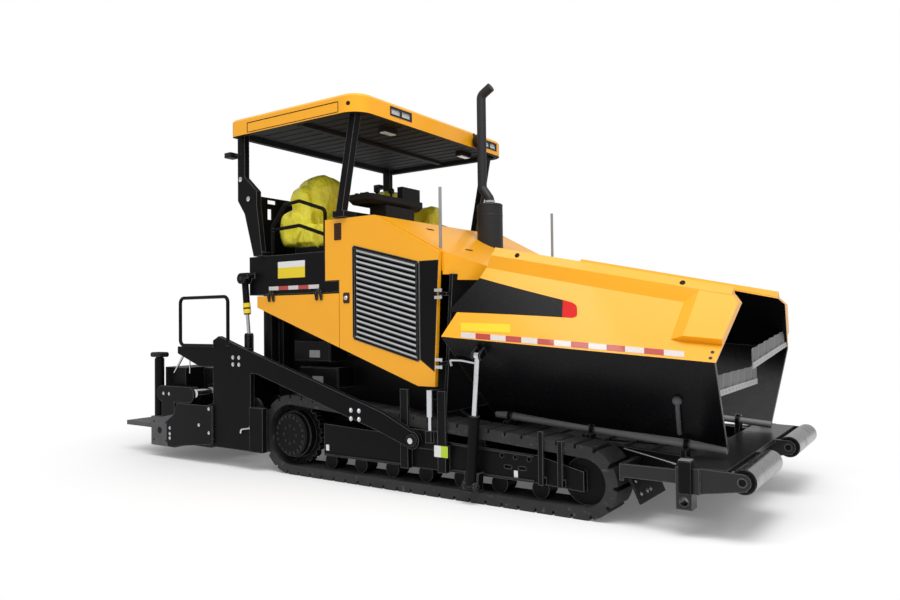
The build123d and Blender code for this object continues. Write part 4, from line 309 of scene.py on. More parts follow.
@dataclass(frozen=True)
class Steel:
    """Bare or plated steel: drawn marks round or along it, with a little tarnish."""

    name: str
    colour: Triple
    roughness: float = 0.2
    tarnish: Triple = (0.2, 0.19, 0.18)
    tarnish_share: float = 0.25
    grain: Triple = (1.0, 1.0, 60.0)

    def build(self) -> bpy.types.Material:
        """Make the material."""
        shader = Shader(self.name)
        patches = shader.noise(7.0, 6.0).ramp(0.5, 0.85) * self.tarnish_share
        base = shader.colour(patches, self.colour, self.tarnish)
        marks = shader.noise(18.0, 3.0, self.grain)
        rough = marks * 0.16 + (self.roughness - 0.08) + patches * 0.3
        normal = shader.bump(marks, 0.0002)
        return shader.finish(Base_Color=base, Roughness=rough, Metallic=1.0, Normal=normal)


@dataclass(frozen=True)
class TrackIron:
    """Blackened cast steel with bright patches that are partly rubbed wear and partly painted glints, and
    pale dust on its tops.
    """

    name: str
    colour: Triple = (0.017, 0.017, 0.018)
    # rubbed is the colour of the bright patches: rubbed wear and painted glints
    rubbed: Triple = (0.19, 0.185, 0.18)
    dust: Triple = (0.08, 0.072, 0.062)

    def build(self) -> bpy.types.Material:
        """Make the material."""
        shader = Shader(self.name)
        cloud = shader.noise(5.0, 8.0)
        base = shader.colour(cloud, self.colour, tuple(2.2 * part for part in self.colour))
        # Bright patches: partly rubbed wear, partly painted glints
        wear_and_glints = shader.noise(22.0, 8.0).ramp(0.58, 0.8) * 0.5
        base = shader.layer(wear_and_glints, base, self.rubbed)
        settled = shader.facing_up().ramp(0.3, 1.0) * cloud.ramp(0.4, 0.75) * 0.35
        base = shader.layer(settled, base, self.dust)
        normal = shader.bump(shader.noise(120.0, 4.0), 0.0012)
        rough = shader.noise(30.0) * 0.25 + 0.38
        return shader.finish(Base_Color=base, Roughness=rough, Specular_IOR_Level=0.2, Normal=normal)


@dataclass(frozen=True)
class Plastic:
    """Moulded plastic or rubber with a fine leather grain."""

    name: str
    colour: Triple
    roughness: float = 0.55
    grain_depth: float = 0.0006

    def build(self) -> bpy.types.Material:
        """Make the material."""
        shader = Shader(self.name)
        base = shader.colour(shader.noise(4.0), tuple(0.85 * part for part in self.colour), self.colour)
        grain = shader.noise(180.0, 2.0)
        normal = shader.bump(grain, self.grain_depth)
        rough = grain * 0.2 + (self.roughness - 0.1)
        return shader.finish(Base_Color=base, Roughness=rough, Specular_IOR_Level=0.25, Normal=normal)


@dataclass(frozen=True)
class Reflector:
    """Retro-reflective strip: small honeycomb cells under a clear face."""

    name: str
    colour: Triple

    def build(self) -> bpy.types.Material:
        """Make the material."""
        shader = Shader(self.name)
        cells = shader.node("ShaderNodeTexVoronoi", values={"Vector": shader.place, "Scale": 160.0})
        base = shader.colour(cells.ramp(0.2, 0.7), self.colour, tuple(0.8 * part for part in self.colour))
        return shader.finish(Base_Color=base, Roughness=cells * 0.2 + 0.25, Coat_Weight=0.5)


@dataclass(frozen=True)
class LampGlass:
    """Clear lamp face with upright flutes over a bright dish."""

    name: str
    colour: Triple = (0.86, 0.88, 0.9)
    flutes: float = 90.0

    def build(self) -> bpy.types.Material:
        """Make the material."""
        shader = Shader(self.name)
        settings = {"wave_type": "BANDS", "bands_direction": "Y"}
        values = {"Vector": shader.place, "Scale": self.flutes}
        wave = shader.node("ShaderNodeTexWave", settings, values, "Fac")
        base = shader.colour(wave, tuple(0.8 * part for part in self.colour), self.colour)
        normal = shader.bump(wave, 0.002)
        return shader.finish(Base_Color=base, Roughness=wave * 0.1 + 0.08, Coat_Weight=1.0, Normal=normal)


@dataclass(frozen=True)
class LouvreSlats:
    """Silver slats with a painted highlight along their upper part and painted shade down to their lower
    edge.
    """

    name: str
    # bright is the painted highlight and dark the painted shade on each slat
    bright: Triple = (0.47, 0.475, 0.485)
    dark: Triple = (0.012, 0.012, 0.013)
    rear_foot: Pair = (-0.02, 1.33)
    slope: float = -0.2545
    height: float = 0.8425
    slats: int = 17

    def build(self) -> bpy.types.Material:
        """Make the material, its painted highlight and painted shade set by the share of one slat's pitch
        that lies below a point.
        """
        shader = Shader(self.name)
        foot = (shader.axis("X") - self.rear_foot[0]) * self.slope + self.rear_foot[1]
        pitches = (shader.axis("Z") - foot) * (self.slats / self.height)
        share = pitches.math("FRACT", pitches, 0.0)
        # Painted highlight across the upper part of each slat, painted shade below it
        painted_highlight = share.ramp(0.14, 0.30) * (1.0 - share.ramp(0.52, 0.60)) * (0.85 + shader.noise(5.0) * 0.3)
        base = shader.colour(painted_highlight, self.dark, self.bright)
        rough = shader.noise(40.0) * 0.12 + 0.34
        return shader.finish(Base_Color=base, Roughness=rough, Specular_IOR_Level=0.3)


@dataclass(frozen=True)
class CoverFilm:
    """Thin lemon film over the seats: creased, a little glossy, with painted shade where it folds."""

    name: str
    colour: Triple = (0.95, 0.86, 0.055)
    # shade is the colour of the painted shade in the folds
    shade: Triple = (0.84, 0.70, 0.022)

    def build(self) -> bpy.types.Material:
        """Make the material."""
        shader = Shader(self.name)
        bend = shader.noise(5.0, 3.0)
        place = shader.node("ShaderNodeMapping", values={"Vector": shader.place, "Scale": (1.0, 1.0, 0.55)})
        facets = shader.node("ShaderNodeTexVoronoi", values={"Vector": place, "Scale": 9.0})
        fine = shader.noise(40.0, 3.0, (1.0, 1.0, 0.4))
        # Painted shade: darker where the same noise dents the bump into folds
        base = shader.colour((bend * 0.7 + fine * 0.3).ramp(0.3, 0.6), self.shade, self.colour)
        normal = shader.bump(facets + bend * 0.6 + fine * 0.22, 0.042)
        rough = fine * 0.2 + 0.2
        return shader.finish(Base_Color=base, Roughness=rough, Specular_IOR_Level=0.45, Normal=normal)


@dataclass(frozen=True)
class PaleAcrylic:
    """Pale clear rod that lets the background through."""

    name: str
    colour: Triple = (0.30, 0.31, 0.31)

    def build(self) -> bpy.types.Material:
        """Make the material."""
        shader = Shader(self.name)
        streaks = shader.noise(6.0, 3.0, (8.0, 8.0, 1.0))
        base = shader.colour(streaks, tuple(0.8 * part for part in self.colour), self.colour)
        return shader.finish(Base_Color=base, Roughness=streaks * 0.15 + 0.1, Alpha=streaks * 0.3 + 0.62)


def black_paint(
    name: str, tint: Triple, roughness: float, dust: float, specular: float, edge: float
) -> Paint:
    """Black paint of a tint, with cloudy tone, dark dust, and edges painted lighter as a painted highlight
    that also stands for rubbed wear.
    """
    return Paint(name, tint, roughness, 0.0, 0.2, dust, BLACK_DUST, specular, edge)


BLACK_TINT = (0.0042, 0.0042, 0.0050)
SATIN_TINT = (0.0050, 0.0050, 0.0058)
DECK_TINT = (0.0085, 0.0085, 0.0095)
BLACK_DUST = (0.030, 0.029, 0.028)
PIPE_DUST = (0.09, 0.085, 0.08)


class Finish(Enum):
    """Every finish of the machine."""

    YELLOW = Paint("yellow_paint", (0.87, 0.378, 0.006), 0.36, 0.22, 0.04, 0.03, specular=0.4)
    # edge on the black paints is the share of their painted edge highlight, partly rubbed wear
    BLACK = black_paint("black_paint", BLACK_TINT, roughness=0.42, dust=0.05, specular=0.09, edge=0.8)
    GLOSS_BLACK = black_paint("black_gloss", BLACK_TINT, roughness=0.28, dust=0.03, specular=0.13, edge=0.7)
    SATIN = black_paint("black_satin", SATIN_TINT, roughness=0.45, dust=0.04, specular=0.06, edge=0.7)
    DECK = black_paint("black_deck", DECK_TINT, roughness=0.3, dust=0.06, specular=0.34, edge=0.7)
    CHARCOAL = Paint("exhaust_charcoal", (0.016, 0.017, 0.020), 0.5, 0.0, 0.15, 0.04, PIPE_DUST, 0.3)
    SLAT = LouvreSlats("louvre_silver")
    APRON = Paint("apron_grey", (0.15, 0.15, 0.152), 0.5, 0.0, 0.2, 0.25, (0.05, 0.05, 0.05), 0.3)
    LIP = Paint("apron_lip", (0.40, 0.40, 0.395), 0.5, 0.0, 0.08, 0.15, (0.12, 0.12, 0.12), 0.3)
    STEP = Paint("step_grey", (0.085, 0.086, 0.090), 0.5, 0.0, 0.1, 0.2, BLACK_DUST, 0.25)
    PLATE = Paint("blank_plate_grey", (0.20, 0.20, 0.205), 0.45, 0.0, 0.1, 0.1, BLACK_DUST, 0.3)
    CHROME = Steel("bright_steel", (0.62, 0.63, 0.65))
    ROLLER = Steel("roller_steel", (0.30, 0.30, 0.31), 0.26, (0.06, 0.055, 0.05), 0.7, (1.0, 40.0, 1.0))
    WORN = Steel("worn_steel", (0.055, 0.055, 0.055), 0.45, (0.03, 0.025, 0.022), 0.6)
    CAST = TrackIron("track_iron")
    PLASTIC = Plastic("console_plastic", DECK_TINT)
    LINING = Plastic("roof_lining", DECK_TINT, 0.7)
    RUBBER = Plastic("black_rubber", (0.0075, 0.0075, 0.0075), 0.75)
    BROWN = Plastic("vent_brown", (0.055, 0.018, 0.008), 0.6)
    WHITE_REFLECTOR = Reflector("white_reflector", (0.68, 0.62, 0.59))
    RED_REFLECTOR = Reflector("red_reflector", (0.46, 0.035, 0.022))
    LAMP = LampGlass("lamp_glass")
    LABEL = Paint("label_lemon", (0.76, 0.57, 0.03), 0.5, 0.0, 0.03, 0.02, specular=0.2)
    LABEL_WHITE = Paint("label_white", (0.70, 0.71, 0.70), 0.4, 0.1, 0.03, 0.02)
    LIME = Paint("label_lime", (0.42, 0.60, 0.02), 0.4, 0.1, 0.03, 0.02)
    RED = Paint("band_red", (0.58, 0.010, 0.008), 0.5, 0.0, 0.04, 0.01, specular=0.15)
    COVER = CoverFilm("seat_cover_film")
    POLE = PaleAcrylic("sight_pole_acrylic")

    def material(self) -> bpy.types.Material:
        """The finish's material, made on first use."""
        return bpy.data.materials.get(Shader.full_name(self.value.name)) or self.value.build()


# Surfaces


def unit(vectors: Array) -> Array:
    """Vectors scaled to length one."""
    return vectors / np.linalg.norm(vectors, axis=-1, keepdims=True)


def tube_grid(path: Sequence[Triple], radius: float, sides: int = 12) -> Array:
    """Round tube: circles set square to the path, turned as little as possible from one to the next.

    Args:
        path: Points of the middle line.
        radius: Radius of the circles.
        sides: Points round the tube.

    Returns:
        Grid of points, one row for each path point.
    """
    line = np.asarray(path, float)
    along = unit(np.gradient(line, axis=0))
    start = np.eye(3)[np.argmin(np.abs(along[0]))]
    ups = [unit(start - along[0] * (start @ along[0]))]
    for direction in along[1:]:
        ups.append(unit(ups[-1] - direction * (ups[-1] @ direction)))
    up = np.asarray(ups)
    across = np.cross(along, up)
    turn = np.linspace(0.0, 2.0 * np.pi, sides, endpoint=False)
    ring = np.cos(turn)[None, :, None] * up[:, None] + np.sin(turn)[None, :, None] * across[:, None]
    return line[:, None] + radius * ring


def bent_path(corners: Sequence[Triple], bend: float, steps: int = 6) -> Array:
    """Straight runs whose corners are rounded with quadratic curves.

    Args:
        corners: Corner points.
        bend: How far before and after a corner its curve starts and ends.
        steps: Points on each curve.

    Returns:
        Points along the line.
    """
    points = np.asarray(corners, float)
    share = np.linspace(0.0, 1.0, steps)[:, None]
    line = [points[:1]]
    for before, here, after in zip(points, points[1:], points[2:]):
        enter = here + unit(before - here) * bend
        leave = here + unit(after - here) * bend
        line.append((1 - share) ** 2 * enter + 2 * share * (1 - share) * here + share**2 * leave)
    line.append(points[-1:])
    return np.concatenate(line)


def turned_grid(profile: Sequence[Pair], start: Triple, axis: Triple, sides: int = 24) -> Array:
    """Surface of revolution: each profile point's radius is swept round the axis at its distance along it.

    Args:
        profile: Pairs of radius and distance from the start.
        start: Point on the axis.
        axis: Direction of the axis.
        sides: Points round the axis.

    Returns:
        Grid of points, one row for each profile pair.
    """
    shape = np.asarray(profile, float)
    ahead = unit(np.asarray(axis, float))
    helper = np.eye(3)[np.argmin(np.abs(ahead))]
    up = unit(np.cross(ahead, helper))
    across = np.cross(ahead, up)
    turn = np.linspace(0.0, 2.0 * np.pi, sides, endpoint=False)
    ring = np.cos(turn)[:, None] * up + np.sin(turn)[:, None] * across
    return np.asarray(start, float) + shape[:, :1, None] * ring + shape[:, 1:, None] * ahead


def rounded_outline(width: float, height: float, corner: float, steps: int = 4) -> Array:
    """Rectangle with quarter circles at its corners, centred, as pairs."""
    turn = np.linspace(0.0, np.pi / 2, steps)
    arc = np.stack([np.cos(turn), np.sin(turn)], axis=1) * corner
    spread = np.array([width / 2 - corner, height / 2 - corner])
    signs = ((1, 1), (-1, 1), (-1, -1), (1, -1))
    quarters = []
    for index, sign in enumerate(signs):
        angle = index * np.pi / 2
        spin = np.array([[np.cos(angle), np.sin(angle)], [-np.sin(angle), np.cos(angle)]])
        quarters.append(arc @ spin + spread * np.asarray(sign))
    return np.concatenate(quarters)


def inset_outline(outline: Array, inset: float) -> Array:
    """Closed outline, drawn counter-clockwise, moved inwards by an inset at its corners' mitres."""
    into = unit(outline - np.roll(outline, 1, axis=0))
    out_of = unit(np.roll(outline, -1, axis=0) - outline)
    inward = unit(np.stack([-into[:, 1] - out_of[:, 1], into[:, 0] + out_of[:, 0]], axis=1))
    reach = inset / np.maximum(0.3, (inward * np.stack([-into[:, 1], into[:, 0]], axis=1)).sum(axis=1))
    return outline + inward * reach[:, None]


def slab_grid(outline: Array, place: Array, depth: float, edge: float) -> Array:
    """Flat piece: an outline carried through a depth, drawn in by the edge at both ends.

    Args:
        outline: Closed outline of pairs, counter-clockwise.
        place: Four by four matrix; the outline lies in its X and Y and the depth runs along its Z.
        depth: Thickness.
        edge: Bevel of both faces' edges.

    Returns:
        Grid of four rows.
    """
    tight = inset_outline(outline, edge)
    rows = []
    for ring, height in ((tight, 0.0), (outline, edge), (outline, depth - edge), (tight, depth)):
        rows.append(np.column_stack([ring, np.full(len(ring), height)]))
    grid = np.stack(rows)
    return grid @ place[:3, :3].T + place[:3, 3]


def place_matrix(origin: Triple, x_axis: Triple, y_axis: Triple) -> Array:
    """Frame at an origin from its X and Y directions, with Z square to both."""
    x = unit(np.asarray(x_axis, float))
    z = unit(np.cross(x, np.asarray(y_axis, float)))
    made = np.eye(4)
    made[:3, 0] = x
    made[:3, 1] = np.cross(z, x)
    made[:3, 2] = z
    made[:3, 3] = origin
    return made


def side_place(y: float, side: Side) -> Array:
    """Frame on an upright side face: X forward or back, Y up, and Z square out of the face."""
    return place_matrix(side.at(0.0, y, 0.0), (-side.value, 0, 0), UP)


def side_outline(points: Sequence[Pair], side: Side) -> Array:
    """Outline in X and Z for side_place, counter-clockwise on either side."""
    flat = np.asarray(points, float) * np.array([-side.value, 1.0])
    twice = np.sum(flat[:, 0] * np.roll(flat[:, 1], -1) - np.roll(flat[:, 0], -1) * flat[:, 1])
    return flat if twice > 0 else flat[::-1]


def oblong(x: Pair, z: Pair, corner: float) -> list[Pair]:
    """Oblong with rounded corners between two X and two Z values."""
    middle = np.array([sum(x) / 2, sum(z) / 2])
    return (rounded_outline(x[1] - x[0], z[1] - z[0], corner) + middle).tolist()


def bar_outline(start: Pair, end: Pair, width: float) -> list[Pair]:
    """Four corners of a flat bar of a width along a line."""
    first, last = np.asarray(start, float), np.asarray(end, float)
    across = unit(last - first)[::-1] * np.array([-1.0, 1.0]) * width / 2
    return [tuple(first - across), tuple(last - across), tuple(last + across), tuple(first + across)]


@dataclass
class Piece:
    """Surfaces gathered into one mesh that rides on a body."""

    name: str
    finish: Finish
    body: str
    points: list[Array] = field(default_factory=list)
    faces: list[list[int]] = field(default_factory=list)

    def grid(self, grid: Array, ring: bool = True, capped: bool = True) -> "Piece":
        """Add a grid of points as quads.

        Args:
            grid: Rows of points.
            ring: Whether each row closes on itself.
            capped: Whether the first and last row are closed by a face.

        Returns:
            This piece.
        """
        rows, columns = grid.shape[:2]
        base = sum(len(part) for part in self.points)
        index = base + np.arange(rows * columns).reshape(rows, columns)
        here = index if ring else index[:, :-1]
        after = np.roll(index, -1, axis=1) if ring else index[:, 1:]
        quads = np.stack([here[:-1], after[:-1], after[1:], here[1:]], axis=-1)
        self.faces.extend(quads.reshape(-1, 4).tolist())
        if capped and ring:
            self.faces.append(index[0][::-1].tolist())
            self.faces.append(index[-1].tolist())
        self.points.append(grid.reshape(-1, 3))
        return self

    def slab(self, outline: Array, place: Array, depth: float, edge: float = 0.002) -> "Piece":
        """Add a flat piece with bevelled edges."""
        return self.grid(slab_grid(outline, place, depth, edge))

    def box(self, low: Triple, high: Triple, corner: float = 0.004) -> "Piece":
        """Add an upright box with rounded corners between two corner points."""
        size = np.asarray(high) - np.asarray(low)
        middle = (np.asarray(high) + np.asarray(low)) / 2
        place = place_matrix((middle[0], middle[1], low[2]), (1, 0, 0), (0, 1, 0))
        outline = rounded_outline(size[0], size[1], corner, 3)
        return self.slab(outline, place, size[2], min(corner, size[2] / 3))

    def side_slab(
        self, points: Sequence[Pair], y: float, side: Side, depth: float, edge: float = 0.002
    ) -> "Piece":
        """Add a flat piece on an upright side face, from its outline in X and Z."""
        return self.slab(side_outline(points, side), side_place(y, side), depth, edge)

    def tube(self, path: Sequence[Triple], radius: float, sides: int = 12) -> "Piece":
        """Add a round tube along a path."""
        return self.grid(tube_grid(path, radius, sides))

    def turned(
        self, profile: Sequence[Pair], start: Triple, axis: Triple, sides: int, capped: bool = True
    ) -> "Piece":
        """Add a surface of revolution, with end faces unless capped is off."""
        return self.grid(turned_grid(profile, start, axis, sides), capped=capped)

    def bolts(self, places: Iterable[Triple], axis: Triple, radius: float, height: float) -> "Piece":
        """Add hexagon bolt heads on washers.

        Args:
            places: Points where the heads sit.
            axis: Direction the heads stand out.
            radius: Radius of a head.
            height: Height of a head above its washer.

        Returns:
            This piece.
        """
        washer = 0.3 * height
        for place in places:
            disc = [(1.5 * radius, 0.0), (1.5 * radius, washer)]
            head = [(radius, washer), (radius, height), (0.8 * radius, washer + height)]
            self.turned(disc, place, axis, 16)
            self.turned(head, place, axis, 6)
        return self

    def build(self, sharp: float = 35.0) -> bpy.types.Object:
        """Make the mesh object, finish it and put it on its body.

        Args:
            sharp: Angle in degrees over which an edge stays sharp.

        Returns:
            The object.
        """
        mesh = bpy.data.meshes.new(self.name)
        mesh.from_pydata(np.concatenate(self.points).tolist(), [], self.faces)
        mesh.validate()
        mesh.shade_smooth()
        mesh.set_sharp_from_angle(angle=math.radians(sharp))
        mesh.materials.append(self.finish.material())
        made = bpy.data.objects.new(self.name, mesh)
        bpy.context.scene.collection.objects.link(made)
        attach(made, self.body)
        LOG.info("piece %s on %s", self.name, self.body)
        return made


@dataclass(frozen=True)
class SideFittings:
    """Fittings on one side of the machine."""

    side: Side

    @property
    def body(self) -> str:
        """Body that the fittings ride on unless another is named."""
        return "chassis"

    def piece(self, name: str, finish: Finish, body: str = "") -> Piece:
        """An empty piece named for this side."""
        return Piece(f"{name}_{self.side.word}", finish, body or self.body)


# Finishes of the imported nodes


@dataclass(frozen=True)
class WingFrame:
    """Places on a hopper wing: s along its hinge, out and up square to it, t from knee to top edge."""

    hinge: Triple = (1.26, 0.75, 0.67)
    pitch: float = math.radians(4.17)
    knee: Pair = (0.5, 0.662)
    rear: float = -0.032
    length: float = 2.007
    top_rear: Pair = (0.070, 1.401)
    top_front: Pair = (-0.010, 1.125)

    def top(self, s: Array) -> tuple[Array, Array]:
        """Out and up of the wall's top edge at places along the hinge."""
        share = (s - self.rear) / self.length
        out = self.top_rear[0] + share * (self.top_front[0] - self.top_rear[0])
        up = self.top_rear[1] + share * (self.top_front[1] - self.top_rear[1])
        return out, up

    def point(self, s: Array, t: Array, lift: float, side: Side) -> Array:
        """Points on the outer wall: the straight line from knee to top edge at s, moved square out by lift.

        Args:
            s: Places along the hinge.
            t: Shares of the wall's height.
            lift: Distance off the wall.
            side: Which wing.

        Returns:
            Array of points.
        """
        top_out, top_up = self.top(s)
        run_out, run_up = top_out - self.knee[0], top_up - self.knee[1]
        size = np.hypot(run_out, run_up)
        out = self.knee[0] + t * run_out + lift * run_up / size
        up = self.knee[1] + t * run_up - lift * run_out / size
        return self.world(s, out, up, side)

    def world(self, s: Array, out: Array, up: Array, side: Side) -> Array:
        """Machine coordinates of places in the wing's pitched frame."""
        x = self.hinge[0] + s * math.cos(self.pitch) + up * math.sin(self.pitch)
        z = self.hinge[2] - s * math.sin(self.pitch) + up * math.cos(self.pitch)
        y = side.value * (self.hinge[1] + out)
        return np.stack([x, y, z], axis=-1)

    def local(self, points: Array) -> tuple[Array, Array]:
        """Height above the hinge and distance outside the outer wall, for points of either wing."""
        dx, dz = points[:, 0] - self.hinge[0], points[:, 2] - self.hinge[2]
        s = dx * math.cos(self.pitch) - dz * math.sin(self.pitch)
        up = dx * math.sin(self.pitch) + dz * math.cos(self.pitch)
        out = np.abs(points[:, 1]) - self.hinge[1]
        top_out, top_up = self.top(s)
        run_out, run_up = top_out - self.knee[0], top_up - self.knee[1]
        outside = ((out - self.knee[0]) * run_up - (up - self.knee[1]) * run_out) / np.hypot(run_out, run_up)
        return up, outside


WING = WingFrame()

# Places that the face tests go by
HINGE_HALF = 0.033
ROOF_MIDDLE = (-0.66, 0.0)
LOUVRE_X = (0.012, 0.688)
LEVEL_AXIS = (0.892, 1.228)
ROLLER_AXIS = (3.39, 0.41)
GUIDE_X = (-2.26, -2.04)
GUIDE_Z = 0.706
APRON_SPLIT_X = 3.2


def wing_black(centres: Array, normals: Array) -> Array:
    """Faces of a wing below its knee or inside its wall."""
    up, outside = WING.local(centres)
    return (up < WING.knee[1] - 0.006) | (outside < -0.020)


def wing_hinge(centres: Array, normals: Array) -> Array:
    """Hinge barrel along the wing, painted light grey as a painted highlight."""
    up, _ = WING.local(centres)
    return (np.abs(up) < HINGE_HALF) & (np.abs(np.abs(centres[:, 1]) - WING.hinge[1]) < HINGE_HALF)


def roof_inside(centres: Array, normals: Array) -> Array:
    """Faces of the roof shell that look down or inwards."""
    inward = ((np.array(ROOF_MIDDLE) - centres[:, :2]) * normals[:, :2]).sum(axis=1)
    return (normals[:, 2] < -0.4) | (inward > 0.1)


def louvre_frame(centres: Array, normals: Array) -> Array:
    """Uprights at the louvre's ends and every face that doesn't look outwards."""
    ends = (centres[:, 0] < LOUVRE_X[0]) | (centres[:, 0] > LOUVRE_X[1])
    return ends | (np.abs(normals[:, 1]) < 0.9) | (np.abs(centres[:, 1]) < PANEL_Y - 0.001)


def level_tube(centres: Array, normals: Array) -> Array:
    """Lower bright part of the levelling cylinders."""
    reach = np.hypot(centres[:, 0] - LEVEL_AXIS[0], np.abs(centres[:, 1]) - LEVEL_AXIS[1])
    return (reach < 0.034) & (centres[:, 2] < 0.98)


def lamp_dish(centres: Array, normals: Array) -> Array:
    """Sunk front faces of the roof lamps."""
    return (normals[:, 0] > 0.9) & (centres[:, 0] < 0.178)


def roller_end(centres: Array, normals: Array) -> Array:
    """End faces and axle of a push roller."""
    reach = np.hypot(centres[:, 0] - ROLLER_AXIS[0], centres[:, 2] - ROLLER_AXIS[1])
    return (np.abs(normals[:, 1]) > 0.5) | (reach < 0.05)


def level_rod(centres: Array, normals: Array) -> Array:
    """Bright rods above the tow points."""
    return (np.abs(centres[:, 0] - LEVEL_AXIS[0]) < 0.0185) & (centres[:, 2] > 0.5605)


def guide_tube(centres: Array, normals: Array) -> Array:
    """Bright guide tubes of the screed extensions."""
    reach = np.minimum(*(np.hypot(centres[:, 0] - x, centres[:, 2] - GUIDE_Z) for x in GUIDE_X))
    return (reach < 0.062) & (np.abs(centres[:, 1]) < 1.205)


def screed_step(centres: Array, normals: Array) -> Array:
    """Walked-on steps and lower boxes of the screed extensions."""
    return (centres[:, 0] < -2.62) & (centres[:, 2] < 0.446)


def apron_lip(centres: Array, normals: Array) -> Array:
    """Pale perforated lip along an apron's lower edge."""
    right = (centres[:, 1] < 0.31) & (centres[:, 0] < APRON_SPLIT_X) & (centres[:, 2] < 0.9695)
    rise = 1.080 + (centres[:, 1] + 0.16) * (1.216 - 1.080) / 1.46
    left = (centres[:, 0] > APRON_SPLIT_X) & (centres[:, 2] < rise + 0.0445)
    return right | left


def hinge_knuckle(centres: Array, normals: Array) -> Array:
    """Hinge straps and knuckles that stand off a panel's face."""
    return np.abs(centres[:, 1]) > PANEL_Y + 0.0005


FaceTest = Callable[[Array, Array], Array]


@dataclass(frozen=True)
class NodeFinishes:
    """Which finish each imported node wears, by the start of its name, and which of its faces differ."""

    by_start: tuple[tuple[str, Finish], ...] = (
        ("track_frame", Finish.BLACK),
        ("track", Finish.CAST),
        ("drive_sprocket", Finish.BLACK),
        ("conveyor", Finish.WORN),
        ("engine_hood", Finish.YELLOW),
        ("engine_door", Finish.YELLOW),
        ("door_louvre", Finish.SLAT),
        ("lower_flap", Finish.YELLOW),
        ("seat", Finish.COVER),
        ("control_console", Finish.PLASTIC),
        ("roof_shell", Finish.YELLOW),
        ("roof_liner", Finish.LINING),
        ("exhaust", Finish.CHARCOAL),
        ("sight_poles", Finish.POLE),
        ("hopper_wing", Finish.YELLOW),
        ("hopper_apron", Finish.APRON),
        ("hopper_rod", Finish.CHROME),
        ("push_roller", Finish.ROLLER),
        ("lift_rods", Finish.CHROME),
        ("tow_arm", Finish.SATIN),
        ("front_beam", Finish.DECK),
        ("auger_case", Finish.BLACK),
        ("auger", Finish.WORN),
    )
    by_face: tuple[tuple[str, Finish, FaceTest], ...] = (
        ("hopper_wing", Finish.GLOSS_BLACK, wing_black),
        # The wing's hinge barrel gets a light grey as a painted highlight
        ("hopper_wing", Finish.PLATE, wing_hinge),
        ("roof_lamps", Finish.LAMP, lamp_dish),
        ("push_roller", Finish.BLACK, roller_end),
        ("tow_points", Finish.CHROME, level_rod),
        ("levelling_barrels", Finish.CHROME, level_tube),
        ("roof_shell", Finish.LINING, roof_inside),
        ("door_louvre", Finish.BLACK, louvre_frame),
        ("screed_extension", Finish.CHROME, guide_tube),
        ("screed_extension", Finish.STEP, screed_step),
        ("hopper_apron", Finish.LIP, apron_lip),
        ("engine_door", Finish.CHROME, hinge_knuckle),
        ("lower_flap", Finish.BLACK, hinge_knuckle),
    )

    def dress(self) -> None:
        """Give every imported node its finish, face by face where one node has several."""
        for name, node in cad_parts.items():
            finish = next((item for start, item in self.by_start if name.startswith(start)), Finish.BLACK)
            node.data.materials.clear()
            node.data.materials.append(finish.material())
            for start, other, test in self.by_face:
                if name.startswith(start):
                    self.paint_faces(node.data, other, test)
            LOG.info("node %s wears %s", name, finish.name)

    def paint_faces(self, mesh: bpy.types.Mesh, finish: Finish, test: FaceTest) -> None:
        """Put a second finish on the faces that pass a test.

        Args:
            mesh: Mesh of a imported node.
            finish: Finish of those faces.
            test: Function of face centres and normals that gives a mask.
        """
        count = len(mesh.polygons)
        centres, normals = np.empty(3 * count), np.empty(3 * count)
        slots = np.empty(count, np.int32)
        mesh.polygons.foreach_get("center", centres)
        mesh.polygons.foreach_get("normal", normals)
        mesh.polygons.foreach_get("material_index", slots)
        chosen = test(centres.reshape(-1, 3), normals.reshape(-1, 3))
        slots[chosen] = len(mesh.materials)
        mesh.materials.append(finish.material())
        mesh.polygons.foreach_set("material_index", slots)
        mesh.update()


# Fittings of the hopper wings


